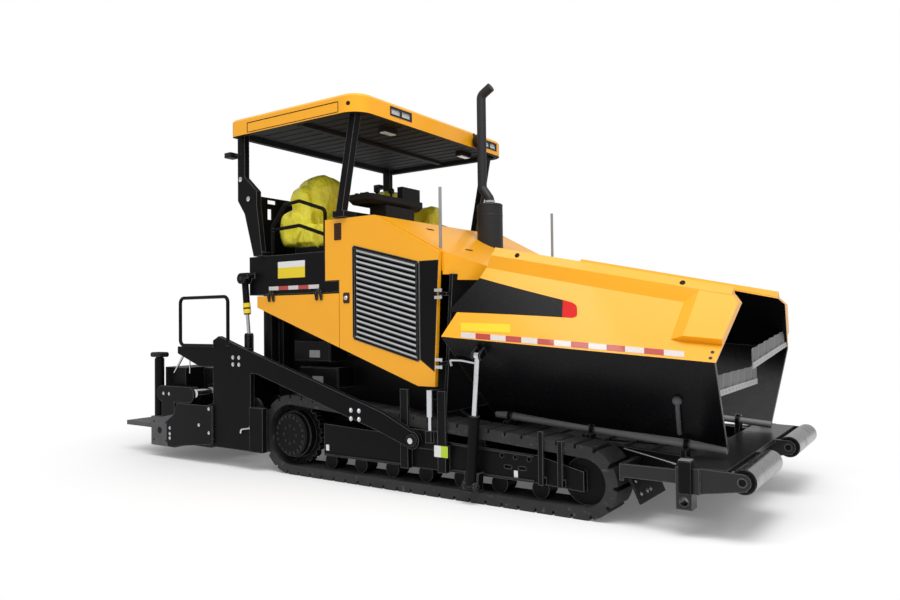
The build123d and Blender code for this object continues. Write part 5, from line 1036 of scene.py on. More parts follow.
@dataclass(frozen=True)
class WingFittings(SideFittings):
    """Band, reflectors, label, lock bar, bolts, hook and plugs on one wing. Pairs are (s, t) of WING."""

    lift: float = 0.0016
    band_rear: Pair = (-0.108, 0.669)
    band_rear_low: Pair = (-0.300, 0.262)
    red_from: Pair = (0.689, 0.555)
    red_from_low: Pair = (0.735, 0.352)
    red_to: Pair = (0.813, 0.533)
    red_to_low: Pair = (0.858, 0.362)
    red_rounding: float = 0.3
    rounding_depth: float = 0.35
    strip: Outline = ((-0.082, 0.008), (1.729, 0.030), (1.715, 0.104), (-0.102, 0.066))
    segments: int = 13
    label: Outline = ((-0.106, 0.078), (0.349, 0.112), (0.320, 0.205), (-0.137, 0.165))
    bar_foot: Triple = (2.868, 0.842, 0.640)
    bar_head: Triple = (2.915, 1.034, 0.900)
    bar_radius: float = 0.017
    ball_radius: float = 0.034
    bolt_s: float = 1.9
    bolt_t: Pair = (0.05, 0.13)
    bolt_way: Triple = (0.0, 0.86, 0.5)
    bolt_size: Pair = (0.009, 0.006)
    hook: tuple[Triple, ...] = (
        (1.06, 1.14, 1.10),
        (1.04, 1.14, 1.15),
        (1.16, 1.14, 1.15),
        (1.29, 1.10, 1.125),
    )
    hook_radius: float = 0.012
    hook_bend: float = 0.02
    holes: Outline = ((0.19, 0.952), (1.56, 0.944))
    border_lift: float = 0.0552
    plug: Outline = ((0.023, -0.004), (0.023, 0.001), (0.020, 0.0015))

    @property
    def body(self) -> str:
        """The wing's body."""
        return f"wing_{self.side.word}"

    def patch(self, corners: Sequence[Pair], steps: tuple[int, int], rounding: float = 0.0) -> Array:
        """Sticker on the wall: a four-cornered field of (s, t), straight between its corners.

        The last edge may be rounded: its ends are drawn back as on an ellipse.

        Args:
            corners: Low start, low end, high end and high start.
            steps: Points along and across.
            rounding: Share of the height at each end of the last edge that is rounded.

        Returns:
            Open grid of points, one sheet that faces outwards.
        """
        across = np.linspace(0.0, 1.0, steps[1])[:, None]
        along = np.linspace(0.0, 1.0, steps[0])[None, :]
        if rounding:
            beyond = np.clip((np.abs(2 * across - 1) - (1 - 2 * rounding)) / (2 * rounding), 0.0, 1.0)
            along = along * (1 - self.rounding_depth * (1 - np.sqrt(1 - beyond**2)))
        low_start, low_end, high_end, high_start = np.asarray(corners, float)
        low = low_start + along[..., None] * (low_end - low_start)
        high = high_start + along[..., None] * (high_end - high_start)
        flat = low + across[..., None] * (high - low)
        sheet = WING.point(flat[..., 0], flat[..., 1], self.lift, self.side)
        return sheet if self.side is Side.RIGHT else sheet[:, ::-1]

    def sticker(self, name: str, finish: Finish, corners: Sequence[Pair], rounding: float = 0.0) -> None:
        """Lay one sticker on the wall."""
        self.piece(name, finish).grid(self.patch(corners, (25, 13), rounding), ring=False).build()

    def band(self) -> None:
        """Black band across the wall with its red end."""
        black = (self.band_rear_low, self.red_from_low, self.red_from, self.band_rear)
        red = (self.red_from_low, self.red_to_low, self.red_to, self.red_from)
        self.sticker("wing_band", Finish.GLOSS_BLACK, black)
        self.sticker("wing_band_end", Finish.RED, red, self.red_rounding)

    def reflectors(self) -> None:
        """Row of white and red reflectors above the knee."""
        low_start, low_end, high_end, high_start = np.asarray(self.strip)
        white = self.piece("wing_reflectors_white", Finish.WHITE_REFLECTOR)
        red = self.piece("wing_reflectors_red", Finish.RED_REFLECTOR)
        for index in range(self.segments):
            first, last = index / self.segments, (index + 1) / self.segments
            low = low_start + np.array([[first], [last]]) * (low_end - low_start)
            high = high_start + np.array([[last], [first]]) * (high_end - high_start)
            (white, red)[index % 2].grid(self.patch([*low, *high], (5, 4)), ring=False)
        white.build()
        red.build()

    def lock_bar(self) -> None:
        """Lock bar that lies on the lower wall, with a ball at its top."""
        foot, head = self.side.at(*self.bar_foot), self.side.at(*self.bar_head)
        bar = self.piece("wing_lock", Finish.STEP).tube([foot, head], self.bar_radius)
        bar.turned(self.ball(self.ball_radius), head, UP, 20).build()

    def flange_bolts(self) -> None:
        """Small bolts by the front edge."""
        places = WING.point(np.full(len(self.bolt_t), self.bolt_s), np.array(self.bolt_t), 0.0, self.side)
        bolts = self.piece("wing_flange_bolts", Finish.BLACK)
        bolts.bolts(places, self.side.at(*self.bolt_way), *self.bolt_size).build()

    def rear_hook(self) -> None:
        """Bent hook at the wing's rear edge."""
        path = bent_path([self.side.at(*corner) for corner in self.hook], self.hook_bend)
        self.piece("wing_hook", Finish.CHROME).tube(path, self.hook_radius, 10).build()

    def hole_plugs(self) -> None:
        """Dark discs in the lifting holes of the raised border."""
        plugs = self.piece("wing_hole_plugs", Finish.RUBBER)
        for s, t in self.holes:
            place = WING.point(np.array(s), np.array(t), self.border_lift, self.side)
            out = WING.point(np.array(s), np.array(t), 1.0, self.side) - place
            plugs.turned(self.plug, place, out, 24)
        plugs.build()

    def ball(self, radius: float) -> list[Pair]:
        """Profile of a ball round its middle."""
        turn = np.linspace(-np.pi / 2, np.pi / 2, 11)
        return list(zip(radius * np.maximum(np.cos(turn), 0.02), radius * np.sin(turn)))

    def build(self) -> None:
        """Make every fitting of the wing."""
        self.band()
        self.reflectors()
        self.sticker("wing_label", Finish.LABEL, self.label)
        self.lock_bar()
        self.flange_bolts()
        self.rear_hook()
        self.hole_plugs()


# Fittings of the doors, platform and roof


@dataclass(frozen=True)
class DoorFittings(SideFittings):
    """Black field, louvre frame, a dark sheet behind the louvre as painted shade, latch and vent on one
    engine door.
    """

    face_y: float = PANEL_Y
    field_points: Outline = ((0.733, 2.000), (0.940, 2.000), (0.887, 1.045), (0.733, 1.148))
    field_thick: float = 0.0015
    louvre: Outline = ((-0.020, 1.330), (-0.020, 2.170), (0.720, 1.985), (0.720, 1.140))
    frame_width: float = 0.026
    frame_thick: float = 0.006
    # Dark sheet behind the louvre: painted shade standing for the shaded inside of the door
    shade_sheet_y: float = 1.108
    shade_sheet_thick: float = 0.008
    latch_at: Pair = (-0.112, 1.70)
    latch_half: Pair = (0.04, 0.05)
    latch_profile: Outline = ((0.022, 0.0), (0.022, 0.014), (0.017, 0.02))
    vent_x: Pair = (-0.262, -0.170)
    vent_z: Pair = (2.245, 2.405)
    vent_bars: int = 6
    vent_border: float = 0.01

    @property
    def body(self) -> str:
        """The door's body."""
        return f"door_{self.side.word}"

    def dark(self) -> None:
        """Black field, the louvre's frame, and a dark sheet behind the slats as painted shade for the door's
        shaded inside.
        """
        dark = self.piece("door_field", Finish.BLACK)
        dark.side_slab(self.field_points, self.face_y, self.side, self.field_thick, 0.0004)
        ends = [*self.louvre, self.louvre[0]]
        for start, end in zip(ends, ends[1:]):
            bar = bar_outline(start, end, self.frame_width)
            dark.side_slab(bar, self.face_y, self.side, self.frame_thick, 0.001)
        # Dark sheet behind the slats, as painted shade
        dark.side_slab(self.louvre, self.shade_sheet_y, self.side, self.shade_sheet_thick, 0.001)
        dark.build()

    def latch(self) -> None:
        """Bright latch on a brown plate."""
        (x, z), (half_x, half_z) = self.latch_at, self.latch_half
        outline = oblong((x - half_x, x + half_x), (z - half_z, z + half_z), 0.014)
        self.piece("door_latch_plate", Finish.BROWN).side_slab(outline, self.face_y, self.side, 0.004).build()
        knob = self.piece("door_latch", Finish.CHROME)
        knob.turned(self.latch_profile, self.side.at(x, self.face_y, z), self.side.out, 20).build()

    def vent(self) -> None:
        """Brown vent with raised bars."""
        vent = self.piece("door_vent", Finish.BROWN)
        vent.side_slab(oblong(self.vent_x, self.vent_z, 0.008), self.face_y, self.side, 0.003)
        step = (self.vent_z[1] - self.vent_z[0]) / self.vent_bars
        width = (self.vent_x[0] + self.vent_border, self.vent_x[1] - self.vent_border)
        for index in range(self.vent_bars):
            low = self.vent_z[0] + (index + 0.25) * step
            vent.side_slab(oblong(width, (low, low + step / 2), 0.004), self.face_y, self.side, 0.009)
        vent.build()

    def build(self) -> None:
        """Make every fitting of the door."""
        self.dark()
        self.latch()
        self.vent()


@dataclass(frozen=True)
class PlatformFittings(SideFittings):
    """Blank plate, reflector strip, post pins, roof joint and upright on one side of the operator's stand."""

    face_y: float = PANEL_Y
    plate_x: Pair = (-1.027, -0.65)
    plate_z: Pair = (1.915, 2.08)
    plate_split: float = 0.64
    strip_x: Pair = (-1.16, -0.463)
    strip_z: Pair = (1.799, 1.838)
    segments: int = 5
    pin_y: float = 1.205
    pin_places: Outline = ((-1.512, 2.955), (-1.392, 2.742))
    pin_profile: Outline = ((0.026, 0.0), (0.026, 0.01), (0.020, 0.014))
    roof_y: float = 1.3
    groove_x: Pair = (-1.3, -0.06)
    groove_z: Pair = (3.395, 3.49)
    groove_width: float = 0.007
    plug_at: Triple = (0.053, 1.289, 3.46)
    plug_way: Triple = (0.34, 0.94, 0.0)
    plug_profile: Outline = ((0.020, -0.006), (0.020, 0.001), (0.016, 0.002))
    upright_x: Pair = (-1.335, -1.215)
    upright_y: Pair = (0.97, 1.07)
    stiffener_x: Pair = (-1.30, -1.15)
    stiffener_y: Pair = (0.84, 0.97)
    upright_z: Pair = (0.95, 1.76)

    def plates(self) -> None:
        """Blank two-tone plate."""
        low, high = self.plate_z
        split = low + self.plate_split * (high - low)
        for name, finish, z in (
            ("plate_lemon", Finish.LABEL, (low, split)),
            ("plate_white", Finish.LABEL_WHITE, (split, high)),
        ):
            outline = oblong(self.plate_x, z, 0.004)
            self.piece(name, finish).side_slab(outline, self.face_y, self.side, *STICKER).build()

    def reflectors(self) -> None:
        """Row of white and red reflectors under the plate."""
        start = self.strip_x[0]
        step = (self.strip_x[1] - start) / self.segments
        for first, finish in enumerate((Finish.WHITE_REFLECTOR, Finish.RED_REFLECTOR)):
            piece = self.piece(f"platform_{finish.name.lower()}", finish)
            for index in range(first, self.segments, 2):
                x = (start + index * step, start + (index + 1) * step)
                piece.side_slab(oblong(x, self.strip_z, 0.002), self.face_y, self.side, *STICKER)
            piece.build()

    def post_pins(self) -> None:
        """Two fold pins with bright heads on the rear post."""
        pins = self.piece("post_pins", Finish.CHROME)
        for x, z in self.pin_places:
            pins.turned(self.pin_profile, self.side.at(x, self.pin_y, z), self.side.out, 20)
        pins.build()

    def roof_lines(self) -> None:
        """Dark joint round the roof's side panel, and a plugged hole ahead of it."""
        (rear, front), (low, high) = self.groove_x, self.groove_z
        corners = [(rear, low), (front, low), (front, high), (rear, high), (rear, low)]
        lines = self.piece("roof_lines", Finish.RUBBER)
        for start, end in zip(corners, corners[1:]):
            bar = bar_outline(start, end, self.groove_width)
            lines.side_slab(bar, self.roof_y, self.side, 0.0012, 0.0003)
        lines.turned(self.plug_profile, self.side.at(*self.plug_at), self.side.at(*self.plug_way), 20).build()

    def upright(self) -> None:
        """Frame upright between the platform and the tow arm, with the stiffener plate before it."""
        piece = self.piece("rear_upright", Finish.BLACK)
        low, high = self.upright_z
        for (rear, front), y, corner in (
            (self.upright_x, self.upright_y, 0.006),
            (self.stiffener_x, self.stiffener_y, 0.004),
        ):
            near, far = self.side.span(*y)
            piece.box((rear, near, low), (front, far, high), corner)
        piece.build()

    def build(self) -> None:
        """Make every fitting of this side."""
        self.plates()
        self.reflectors()
        self.post_pins()
        self.roof_lines()
        self.upright()


@dataclass(frozen=True)
class RoofFittings:
    """Work lamp at the rim, ribs of the lining, hanging lamps and a lamp on each rear post."""

    lamp_at: Triple = (0.235, 0.62, 3.44)
    bowl: Outline = ((0.03, -0.05), (0.07, -0.03), (0.082, 0.0), (0.082, 0.035), (0.070, 0.045))
    stem: tuple[Triple, Triple] = ((0.20, 0.62, 3.49), (0.17, 0.62, 3.53))
    stem_radius: float = 0.02
    glass_at: Triple = (0.278, 0.62, 3.44)
    glass: Outline = ((0.066, 0.0), (0.060, 0.008), (0.02, 0.012))
    lining_z: float = 3.4255
    ribs: int = 17
    rib_reach: float = 1.14
    rib_half: float = 0.012
    rib_x: Pair = (-1.40, 0.02)
    rib_low: float = 3.4200
    beam_x: Pair = (-0.72, -0.66)
    beam_reach: float = 1.18
    beam_low: float = 3.392
    hanging_y: Pair = (-0.457, 0.926)
    pane_x: Pair = (-0.20, -0.13)
    pane_half: float = 0.085
    pane_z: Pair = (3.372, 3.382)
    housing_x: Pair = (-0.21, -0.12)
    housing_half: float = 0.10
    rear_x: Pair = (-1.72, -1.62)
    rear_y: Pair = (1.14, 1.25)
    rear_z: Pair = (3.195, 3.25)
    rear_stem_x: Pair = (-1.63, -1.50)
    rear_stem_y: float = 1.195
    rear_stem_z: float = 3.222
    rear_stem_radius: float = 0.012

    def piece(self, name: str, finish: Finish) -> Piece:
        """An empty piece on the roof."""
        return Piece(name, finish, "chassis")

    def work_lamp(self) -> None:
        """Round lamp that hangs at the front rim."""
        lamp = self.piece("front_work_lamp", Finish.PLASTIC).turned(self.bowl, self.lamp_at, AHEAD, 28)
        lamp.tube(self.stem, self.stem_radius).build()
        self.piece("front_work_lamp_face", Finish.LAMP).turned(self.glass, self.glass_at, AHEAD, 28).build()

    def lining(self) -> None:
        """Ribs along the lining and one beam across it."""
        ribs = self.piece("lining_ribs", Finish.LINING)
        rear, front = self.rib_x
        for y in np.linspace(-self.rib_reach, self.rib_reach, self.ribs):
            low, high = (rear, y - self.rib_half, self.rib_low), (front, y + self.rib_half, self.lining_z)
            ribs.box(low, high, 0.0015)
        rear, front = self.beam_x
        ribs.box((rear, -self.beam_reach, self.beam_low), (front, self.beam_reach, self.lining_z), 0.004)
        ribs.build()

    def hanging_lamps(self) -> None:
        """Two flat lamps under the lining."""
        panes = self.piece("hanging_lamps", Finish.LAMP)
        housings = self.piece("hanging_lamp_housings", Finish.PLASTIC)
        low, high = self.pane_z
        for y in self.hanging_y:
            near, far = y - self.pane_half, y + self.pane_half
            panes.box((self.pane_x[0], near, low), (self.pane_x[1], far, high), 0.003)
            near, far = y - self.housing_half, y + self.housing_half
            housings.box((self.housing_x[0], near, high), (self.housing_x[1], far, self.lining_z), 0.004)
        panes.build()
        housings.build()

    def rear_lamps(self) -> None:
        """A small lamp on a stem behind each rear post."""
        rear = self.piece("rear_post_lamps", Finish.PLASTIC)
        for side in reversed(Side):
            near, far = side.span(*self.rear_y)
            rear.box((self.rear_x[0], near, self.rear_z[0]), (self.rear_x[1], far, self.rear_z[1]), 0.006)
            stem = [side.at(x, self.rear_stem_y, self.rear_stem_z) for x in self.rear_stem_x]
            rear.tube(stem, self.rear_stem_radius, 10)
        rear.build()

    def build(self) -> None:
        """Make every fitting of the roof."""
        self.work_lamp()
        self.lining()
        self.hanging_lamps()
        self.rear_lamps()


# Fittings of the tracks and the front


@dataclass(frozen=True)
class TrackFittings(SideFittings):
    """Final-drive bolts, tow-arm bolts, blank labels, rub strips and tow-pin cap on one side."""

    drive_at: Pair = (-0.82, 0.385)
    drive_y: float = 1.195
    drive_rings: tuple[tuple[float, int, float, float], ...] = (
        (0.176, 20, 0.010, 0.007),
        (0.085, 8, 0.009, 0.006),
    )
    arm_y: float = 1.276
    arm_groups: tuple[tuple[Pair, Pair], ...] = (
        ((0.047, 0.142), (0.685, 0.610)),
        ((-1.562, -1.470), (1.124, 1.053)),
    )
    arm_bolt: Pair = (0.014, 0.009)
    labels: tuple[tuple[str, Finish, float, Pair, Pair], ...] = (
        ("frame_label_rear", Finish.LABEL_WHITE, 1.16, (-0.375, -0.335), (0.27, 0.325)),
        ("frame_label_front", Finish.LABEL_WHITE, 1.16, (1.655, 1.69), (0.245, 0.298)),
        ("guide_label_white", Finish.LABEL_WHITE, 1.22, (0.925, 0.994), (0.345, 0.44)),
        ("guide_label_lime", Finish.LIME, 1.22, (0.994, 1.064), (0.345, 0.44)),
        ("box_plate_upper", Finish.PLATE, 1.08, (-0.665, -0.525), (1.135, 1.205)),
        ("box_plate_lower", Finish.PLATE, 1.08, (-0.625, -0.485), (0.885, 0.955)),
    )
    strip_y: float = 1.16
    strip_width: float = 0.014
    strip_thick: float = 0.012
    strip_runs: tuple[tuple[Pair, Pair], ...] = (
        ((1.06, 0.452), (1.84, 0.424)),
        ((1.06, 0.240), (1.84, 0.236)),
        ((-0.39, 0.236), (0.55, 0.238)),
    )
    pin_at: Pair = (0.73, 0.47)
    cap_y: float = 1.277
    cap_profile: Outline = ((0.055, 0.0), (0.055, 0.012), (0.045, 0.02))
    core_y: float = 1.297
    core_profile: Outline = ((0.026, 0.0), (0.026, 0.004), (0.012, 0.006))

    def ring(self, radius: float, count: int) -> list[Triple]:
        """Places evenly round the final drive."""
        turn = np.linspace(0.0, 2.0 * np.pi, count, endpoint=False)
        x = self.drive_at[0] + radius * np.cos(turn)
        z = self.drive_at[1] + radius * np.sin(turn)
        return list(zip(x, np.full(count, self.side.value * self.drive_y), z))

    def bolt_heads(self) -> None:
        """Bolts round the final drive and on the tow arm."""
        drive = self.piece("drive_bolts", Finish.WORN)
        for radius, count, head, height in self.drive_rings:
            drive.bolts(self.ring(radius, count), self.side.out, head, height)
        drive.build()
        heads = [self.side.at(x, self.arm_y, z) for xs, zs in self.arm_groups for x in xs for z in zs]
        arm = self.piece("tow_arm_bolts", Finish.CHROME, "screed")
        arm.bolts(heads, self.side.out, *self.arm_bolt).build()

    def blank_labels(self) -> None:
        """Small blank labels on the track frame and the side boxes."""
        for name, finish, y, x, z in self.labels:
            self.piece(name, finish).side_slab(oblong(x, z, 0.004), y, self.side, *STICKER).build()

    def strips(self) -> None:
        """Bright rubbed flange strips along the track frame's upper and lower edges."""
        piece = self.piece("frame_strips", Finish.WORN)
        for start, end in self.strip_runs:
            outline = bar_outline(start, end, self.strip_width)
            piece.side_slab(outline, self.strip_y, self.side, self.strip_thick, 0.003)
        piece.build()

    def pin_cap(self) -> None:
        """Cap with a bright centre on the tow pin."""
        x, z = self.pin_at
        for name, finish, profile, y, sides in (
            ("tow_pin_cap", Finish.BLACK, self.cap_profile, self.cap_y, 28),
            ("tow_pin_core", Finish.CHROME, self.core_profile, self.core_y, 24),
        ):
            cap = self.piece(name, finish, "tow_points")
            cap.turned(profile, self.side.at(x, y, z), self.side.out, sides).build()

    def build(self) -> None:
        """Make every fitting of the side."""
        self.bolt_heads()
        self.blank_labels()
        self.strips()
        self.pin_cap()


@dataclass(frozen=True)
class FrontGuards(SideFittings):
    """Blade that clears the road before one track, its stay, and the block on the front beam's side."""

    blade_y: Pair = (0.62, 1.14)
    blade_top: Pair = (2.545, 0.43)
    blade_foot: Pair = (2.668, 0.155)
    thick: float = 0.018
    bolt_rows: Pair = (-0.085, 0.01)
    bolt_columns: Triple = (-0.20, -0.08, -0.01)
    bolt_size: Pair = (0.011, 0.008)
    stay: tuple[Triple, Triple] = ((2.442, 0.840, 0.492), (2.912, 1.05, 0.455))
    stay_radius: float = 0.010
    block_x: Pair = (2.985, 3.075)
    block_y: Pair = (1.19, 1.272)
    block_z: Pair = (0.30, 0.525)
    top_inset: float = 0.003
    top_z: float = 0.532

    def blade(self) -> None:
        """Slanting blade with two rows of bolts."""
        top, foot = np.asarray(self.blade_top), np.asarray(self.blade_foot)
        rise, middle = top - foot, (top + foot) / 2
        origin = self.side.at(middle[0], sum(self.blade_y) / 2, middle[1])
        place = place_matrix(origin, (0, 1, 0), (rise[0], 0, rise[1]))
        outline = rounded_outline(self.blade_y[1] - self.blade_y[0], float(np.linalg.norm(rise)), 0.008)
        self.piece("track_blade", Finish.BLACK).slab(outline, place, self.thick, 0.003).build()
        heads = np.array([(across, up) for up in self.bolt_rows for across in self.bolt_columns])
        flat = np.column_stack([heads * np.array([-self.side.value, 1.0]), np.full(len(heads), self.thick)])
        bolts = self.piece("track_blade_bolts", Finish.CHROME)
        bolts.bolts(flat @ place[:3, :3].T + place[:3, 3], tuple(place[:3, 2]), *self.bolt_size).build()

    def block(self) -> None:
        """Block on the front beam's side with a plate on its top."""
        near, far = self.side.span(*self.block_y)
        (rear, front), (low, high), inset = self.block_x, self.block_z, self.top_inset
        self.piece("bumper_block", Finish.BLACK).box((rear, near, low), (front, far, high), 0.006).build()
        cover = self.piece("bumper_block_top", Finish.PLATE)
        cover.box((rear + inset, near + inset, high), (front - inset, far - inset, self.top_z), 0.002).build()

    def build(self) -> None:
        """Make the blade, the stay and the block."""
        self.blade()
        stay = self.piece("front_stay", Finish.CHROME)
        stay.tube([self.side.at(*end) for end in self.stay], self.stay_radius).build()
        self.block()


# Seat covers


@dataclass(frozen=True)
class SeatCover:
    """Lemon film cover over one seat: lobes merged into one skin, creased, and swollen by a short simulation.

    A lobe is its middle, half sizes, power and lean, as lump takes them. Its y counts outwards.
    Fold rates are in radians to a metre.
    """

    side: Side
    voxel: float = 0.013
    pressure: float = 4.0
    cap: float = 0.028
    frames: int = 20
    folds: int = 6
    fold_height: float = 0.008
    fold_level: float = 0.9
    fold_rates: Pair = (9.0, 22.0)
    seed: int = 7
    rows: int = 26
    columns: int = 40
    pole: float = 0.004
    lobes: tuple[tuple[Triple, Triple, float, float], ...] = (
        ((-0.82, 0.72, 2.345), (0.290, 0.250, 0.105), 0.40, 0.0),
        ((-1.00, 0.68, 2.610), (0.125, 0.255, 0.300), 0.50, 9.0),
        ((-0.98, 0.58, 2.765), (0.185, 0.225, 0.235), 0.50, 4.0),
        ((-1.06, 0.88, 2.440), (0.165, 0.125, 0.200), 0.65, 0.0),
    )
    left_lobe: tuple[Triple, Triple, float, float] = ((-0.70, 0.90, 2.570), (0.200, 0.110, 0.265), 0.50, 0.0)

    def lump(self, middle: Triple, half: Triple, power: float, lean: float) -> Array:
        """Superellipsoid: cosines and sines of two angles raised to a power, scaled and leaned back about Y.

        Args:
            middle: Its centre.
            half: Half sizes.
            power: 1 gives an ellipsoid and less gives a fuller, squarer form.
            lean: Angle in degrees that it leans back.

        Returns:
            Grid of points, rows from the bottom to the top.
        """
        rise = np.linspace(-np.pi / 2, np.pi / 2, self.rows)[:, None]
        turn = np.linspace(0.0, 2.0 * np.pi, self.columns, endpoint=False)[None, :]

        def soft(wave: Array) -> Array:
            """Keep a wave's sign and raise its size to the power."""
            return np.sign(wave) * np.abs(wave) ** power

        reach = np.maximum(soft(np.cos(rise)), self.pole)
        x = half[0] * reach * soft(np.cos(turn))
        y = half[1] * reach * soft(np.sin(turn))
        z = half[2] * soft(np.sin(rise)) + 0.0 * turn
        angle = math.radians(lean)
        leaned_x = x * math.cos(angle) - z * math.sin(angle)
        leaned_z = x * math.sin(angle) + z * math.cos(angle)
        return np.stack([leaned_x, y, leaned_z], axis=-1) + np.asarray(middle)

    def start(self) -> bpy.types.Object:
        """Closed start form from the lobes, merged by a voxel remesh."""
        piece = Piece(f"seat_cover_{self.side.word}", Finish.COVER, "chassis")
        more = (self.left_lobe,) if self.side is Side.LEFT else ()
        for middle, half, power, lean in self.lobes + more:
            piece.grid(self.lump(self.side.at(*middle), half, power, lean))
        made = piece.build(80.0)
        remesh = made.modifiers.new("merge", "REMESH")
        remesh.mode = "VOXEL"
        remesh.voxel_size = self.voxel
        self.settle(made)
        return made

    def settle(self, made: bpy.types.Object) -> None:
        """Turn an object's live modifiers into its mesh."""
        graph = bpy.context.evaluated_depsgraph_get()
        settled = bpy.data.meshes.new_from_object(made.evaluated_get(graph))
        old = made.data
        made.modifiers.clear()
        made.data = settled
        bpy.data.meshes.remove(old)

    def points(self, mesh: bpy.types.Mesh) -> Array:
        """Vertex places as rows."""
        flat = np.empty(3 * len(mesh.vertices))
        mesh.vertices.foreach_get("co", flat)
        return flat.reshape(-1, 3)

    def crease(self, mesh: bpy.types.Mesh) -> None:
        """Fold the skin: slanting ridges, one less the size of a sine, move each point along its normal."""
        places = self.points(mesh)
        normals = np.empty(3 * len(mesh.vertices))
        mesh.vertices.foreach_get("normal", normals)
        rng = np.random.default_rng(self.seed + self.side.value)
        fold = np.zeros(len(places))
        for _ in range(self.folds):
            way = unit(rng.normal(size=3) * np.array([1.0, 1.0, 0.6]))
            turns = places @ way * rng.uniform(*self.fold_rates)
            wave = 1.0 - np.abs(np.sin(turns + rng.uniform(0.0, 6.3)))
            fold += wave**2 * rng.uniform(0.4, 1.0)
        rise = self.fold_height * np.clip(fold - self.fold_level, -1.0, 2.0)
        moved = places + normals.reshape(-1, 3) * rise[:, None]
        mesh.vertices.foreach_set("co", moved.ravel())
        mesh.update()

    def simulate(self, made: bpy.types.Object) -> None:
        """Swell the cover with air pressure and no gravity, and hold each point within a cap of its start."""
        before = self.points(made.data)
        cloth = made.modifiers.new("swell", "CLOTH")
        cloth.settings.use_pressure = True
        cloth.settings.uniform_pressure_force = self.pressure
        cloth.settings.quality = 4
        cloth.settings.effector_weights.gravity = 0.0
        scene = bpy.context.scene
        for number in range(1, self.frames + 1):
            scene.frame_set(number)
        self.settle(made)
        scene.frame_set(1)
        after = self.points(made.data)
        move = after - before
        size = np.linalg.norm(move, axis=1, keepdims=True)
        held = before + move * np.minimum(1.0, self.cap / np.maximum(size, 1e-9))
        made.data.vertices.foreach_set("co", held.ravel())
        made.data.update()

    def build(self) -> None:
        """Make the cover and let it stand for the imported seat."""
        made = self.start()
        self.crease(made.data)
        self.simulate(made)
        made.data.shade_smooth()
        smooth = made.modifiers.new("smooth", "SUBSURF")
        smooth.levels = 1
        smooth.render_levels = 1
        self.settle(made)
        made.data.materials.clear()
        made.data.materials.append(Finish.COVER.material())
        made.data.shade_smooth()
        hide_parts(f"seat_{self.side.word}")
        LOG.info("cover over seat_%s", self.side.word)


# Fittings of the stand's desk, the exhaust and the screed


@dataclass(frozen=True)
class DeskFittings:
    """Knobs, switches and screen back of the control desk."""

    tray_z: float = 2.80
    knob: Outline = ((0.024, 0.0), (0.024, 0.012), (0.020, 0.026), (0.008, 0.028))
    knob_x: Triple = (-0.64, -0.57, -0.50)
    knob_y: Pair = (-0.40, 0.04)
    knob_columns: int = 6
    lever: Outline = (
        (0.01, 0.0), (0.014, 0.05), (0.032, 0.06), (0.036, 0.085), (0.026, 0.105), (0.008, 0.11),
    )
    lever_places: Outline = ((-0.55, -0.18), (-0.46, -0.05))
    screen_at: Triple = (-0.5108, 0.28, 2.8775)
    screen_size: Pair = (0.28, 0.115)
    switch: Outline = ((0.006, 0.0), (0.006, 0.03), (0.010, 0.036), (0.004, 0.045))
    switch_x: float = -0.6
    switch_y: Triple = (-0.33, -0.24, 0.07)

    def build(self) -> None:
        """Make the desk's fittings."""
        knobs = Piece("desk_knobs", Finish.PLASTIC, "chassis")
        for x in self.knob_x:
            for y in np.linspace(*self.knob_y, self.knob_columns):
                knobs.turned(self.knob, (x, y, self.tray_z), UP, 16)
        for x, y in self.lever_places:
            knobs.turned(self.lever, (x, y, self.tray_z), UP, 20)
        knobs.build()
        place = place_matrix(self.screen_at, (0, -1, 0), UP)
        back = Piece("desk_screen", Finish.GLOSS_BLACK, "chassis")
        back.slab(rounded_outline(*self.screen_size, 0.01), place, 0.003, 0.001).build()
        bright = Piece("desk_switches", Finish.CHROME, "chassis")
        for y in self.switch_y:
            bright.turned(self.switch, (self.switch_x, y, self.tray_z), UP, 12)
        bright.build()


@dataclass(frozen=True)
class ExhaustFittings:
    """Clamp and seam rings of the exhaust, and grab plates on the hood's slope before it."""

    at: Pair = (0.6, 0.25)
    clamp_z: float = 2.682
    clamp: Outline = ((0.0485, 0.0), (0.056, 0.002), (0.056, 0.024), (0.0485, 0.026))
    seam_z: Pair = (2.645, 2.54)
    seam: Outline = ((0.1318, 0.0), (0.1345, 0.004), (0.1345, 0.012), (0.1318, 0.016))
    slope_start: Pair = (0.23, 2.445)
    slope_end: Pair = (0.97, 2.07)
    handle_x: Pair = (0.42, 0.86)
    handle_y: Pair = (-0.55, 0.55)
    handle_size: Pair = (0.11, 0.03)

    def build(self) -> None:
        """Make the clamp, the seam rings and the hood's grab plates."""
        clamp = Piece("exhaust_clamp", Finish.CHROME, "chassis")
        clamp.turned(self.clamp, (*self.at, self.clamp_z), UP, 28, capped=False).build()
        seams = Piece("muffler_seams", Finish.CHARCOAL, "chassis")
        for z in self.seam_z:
            seams.turned(self.seam, (*self.at, z), UP, 40, capped=False)
        seams.build()
        handles = Piece("hood_handles", Finish.BROWN, "chassis")
        (start_x, start_z), (end_x, end_z) = self.slope_start, self.slope_end
        slope = (start_z - end_z) / (end_x - start_x)
        for y in self.handle_y:
            for x in self.handle_x:
                place = place_matrix((x, y, start_z - (x - start_x) * slope), (0, 1, 0), (-1, 0, slope))
                handles.slab(rounded_outline(*self.handle_size, 0.012), place, 0.004)
        handles.build()


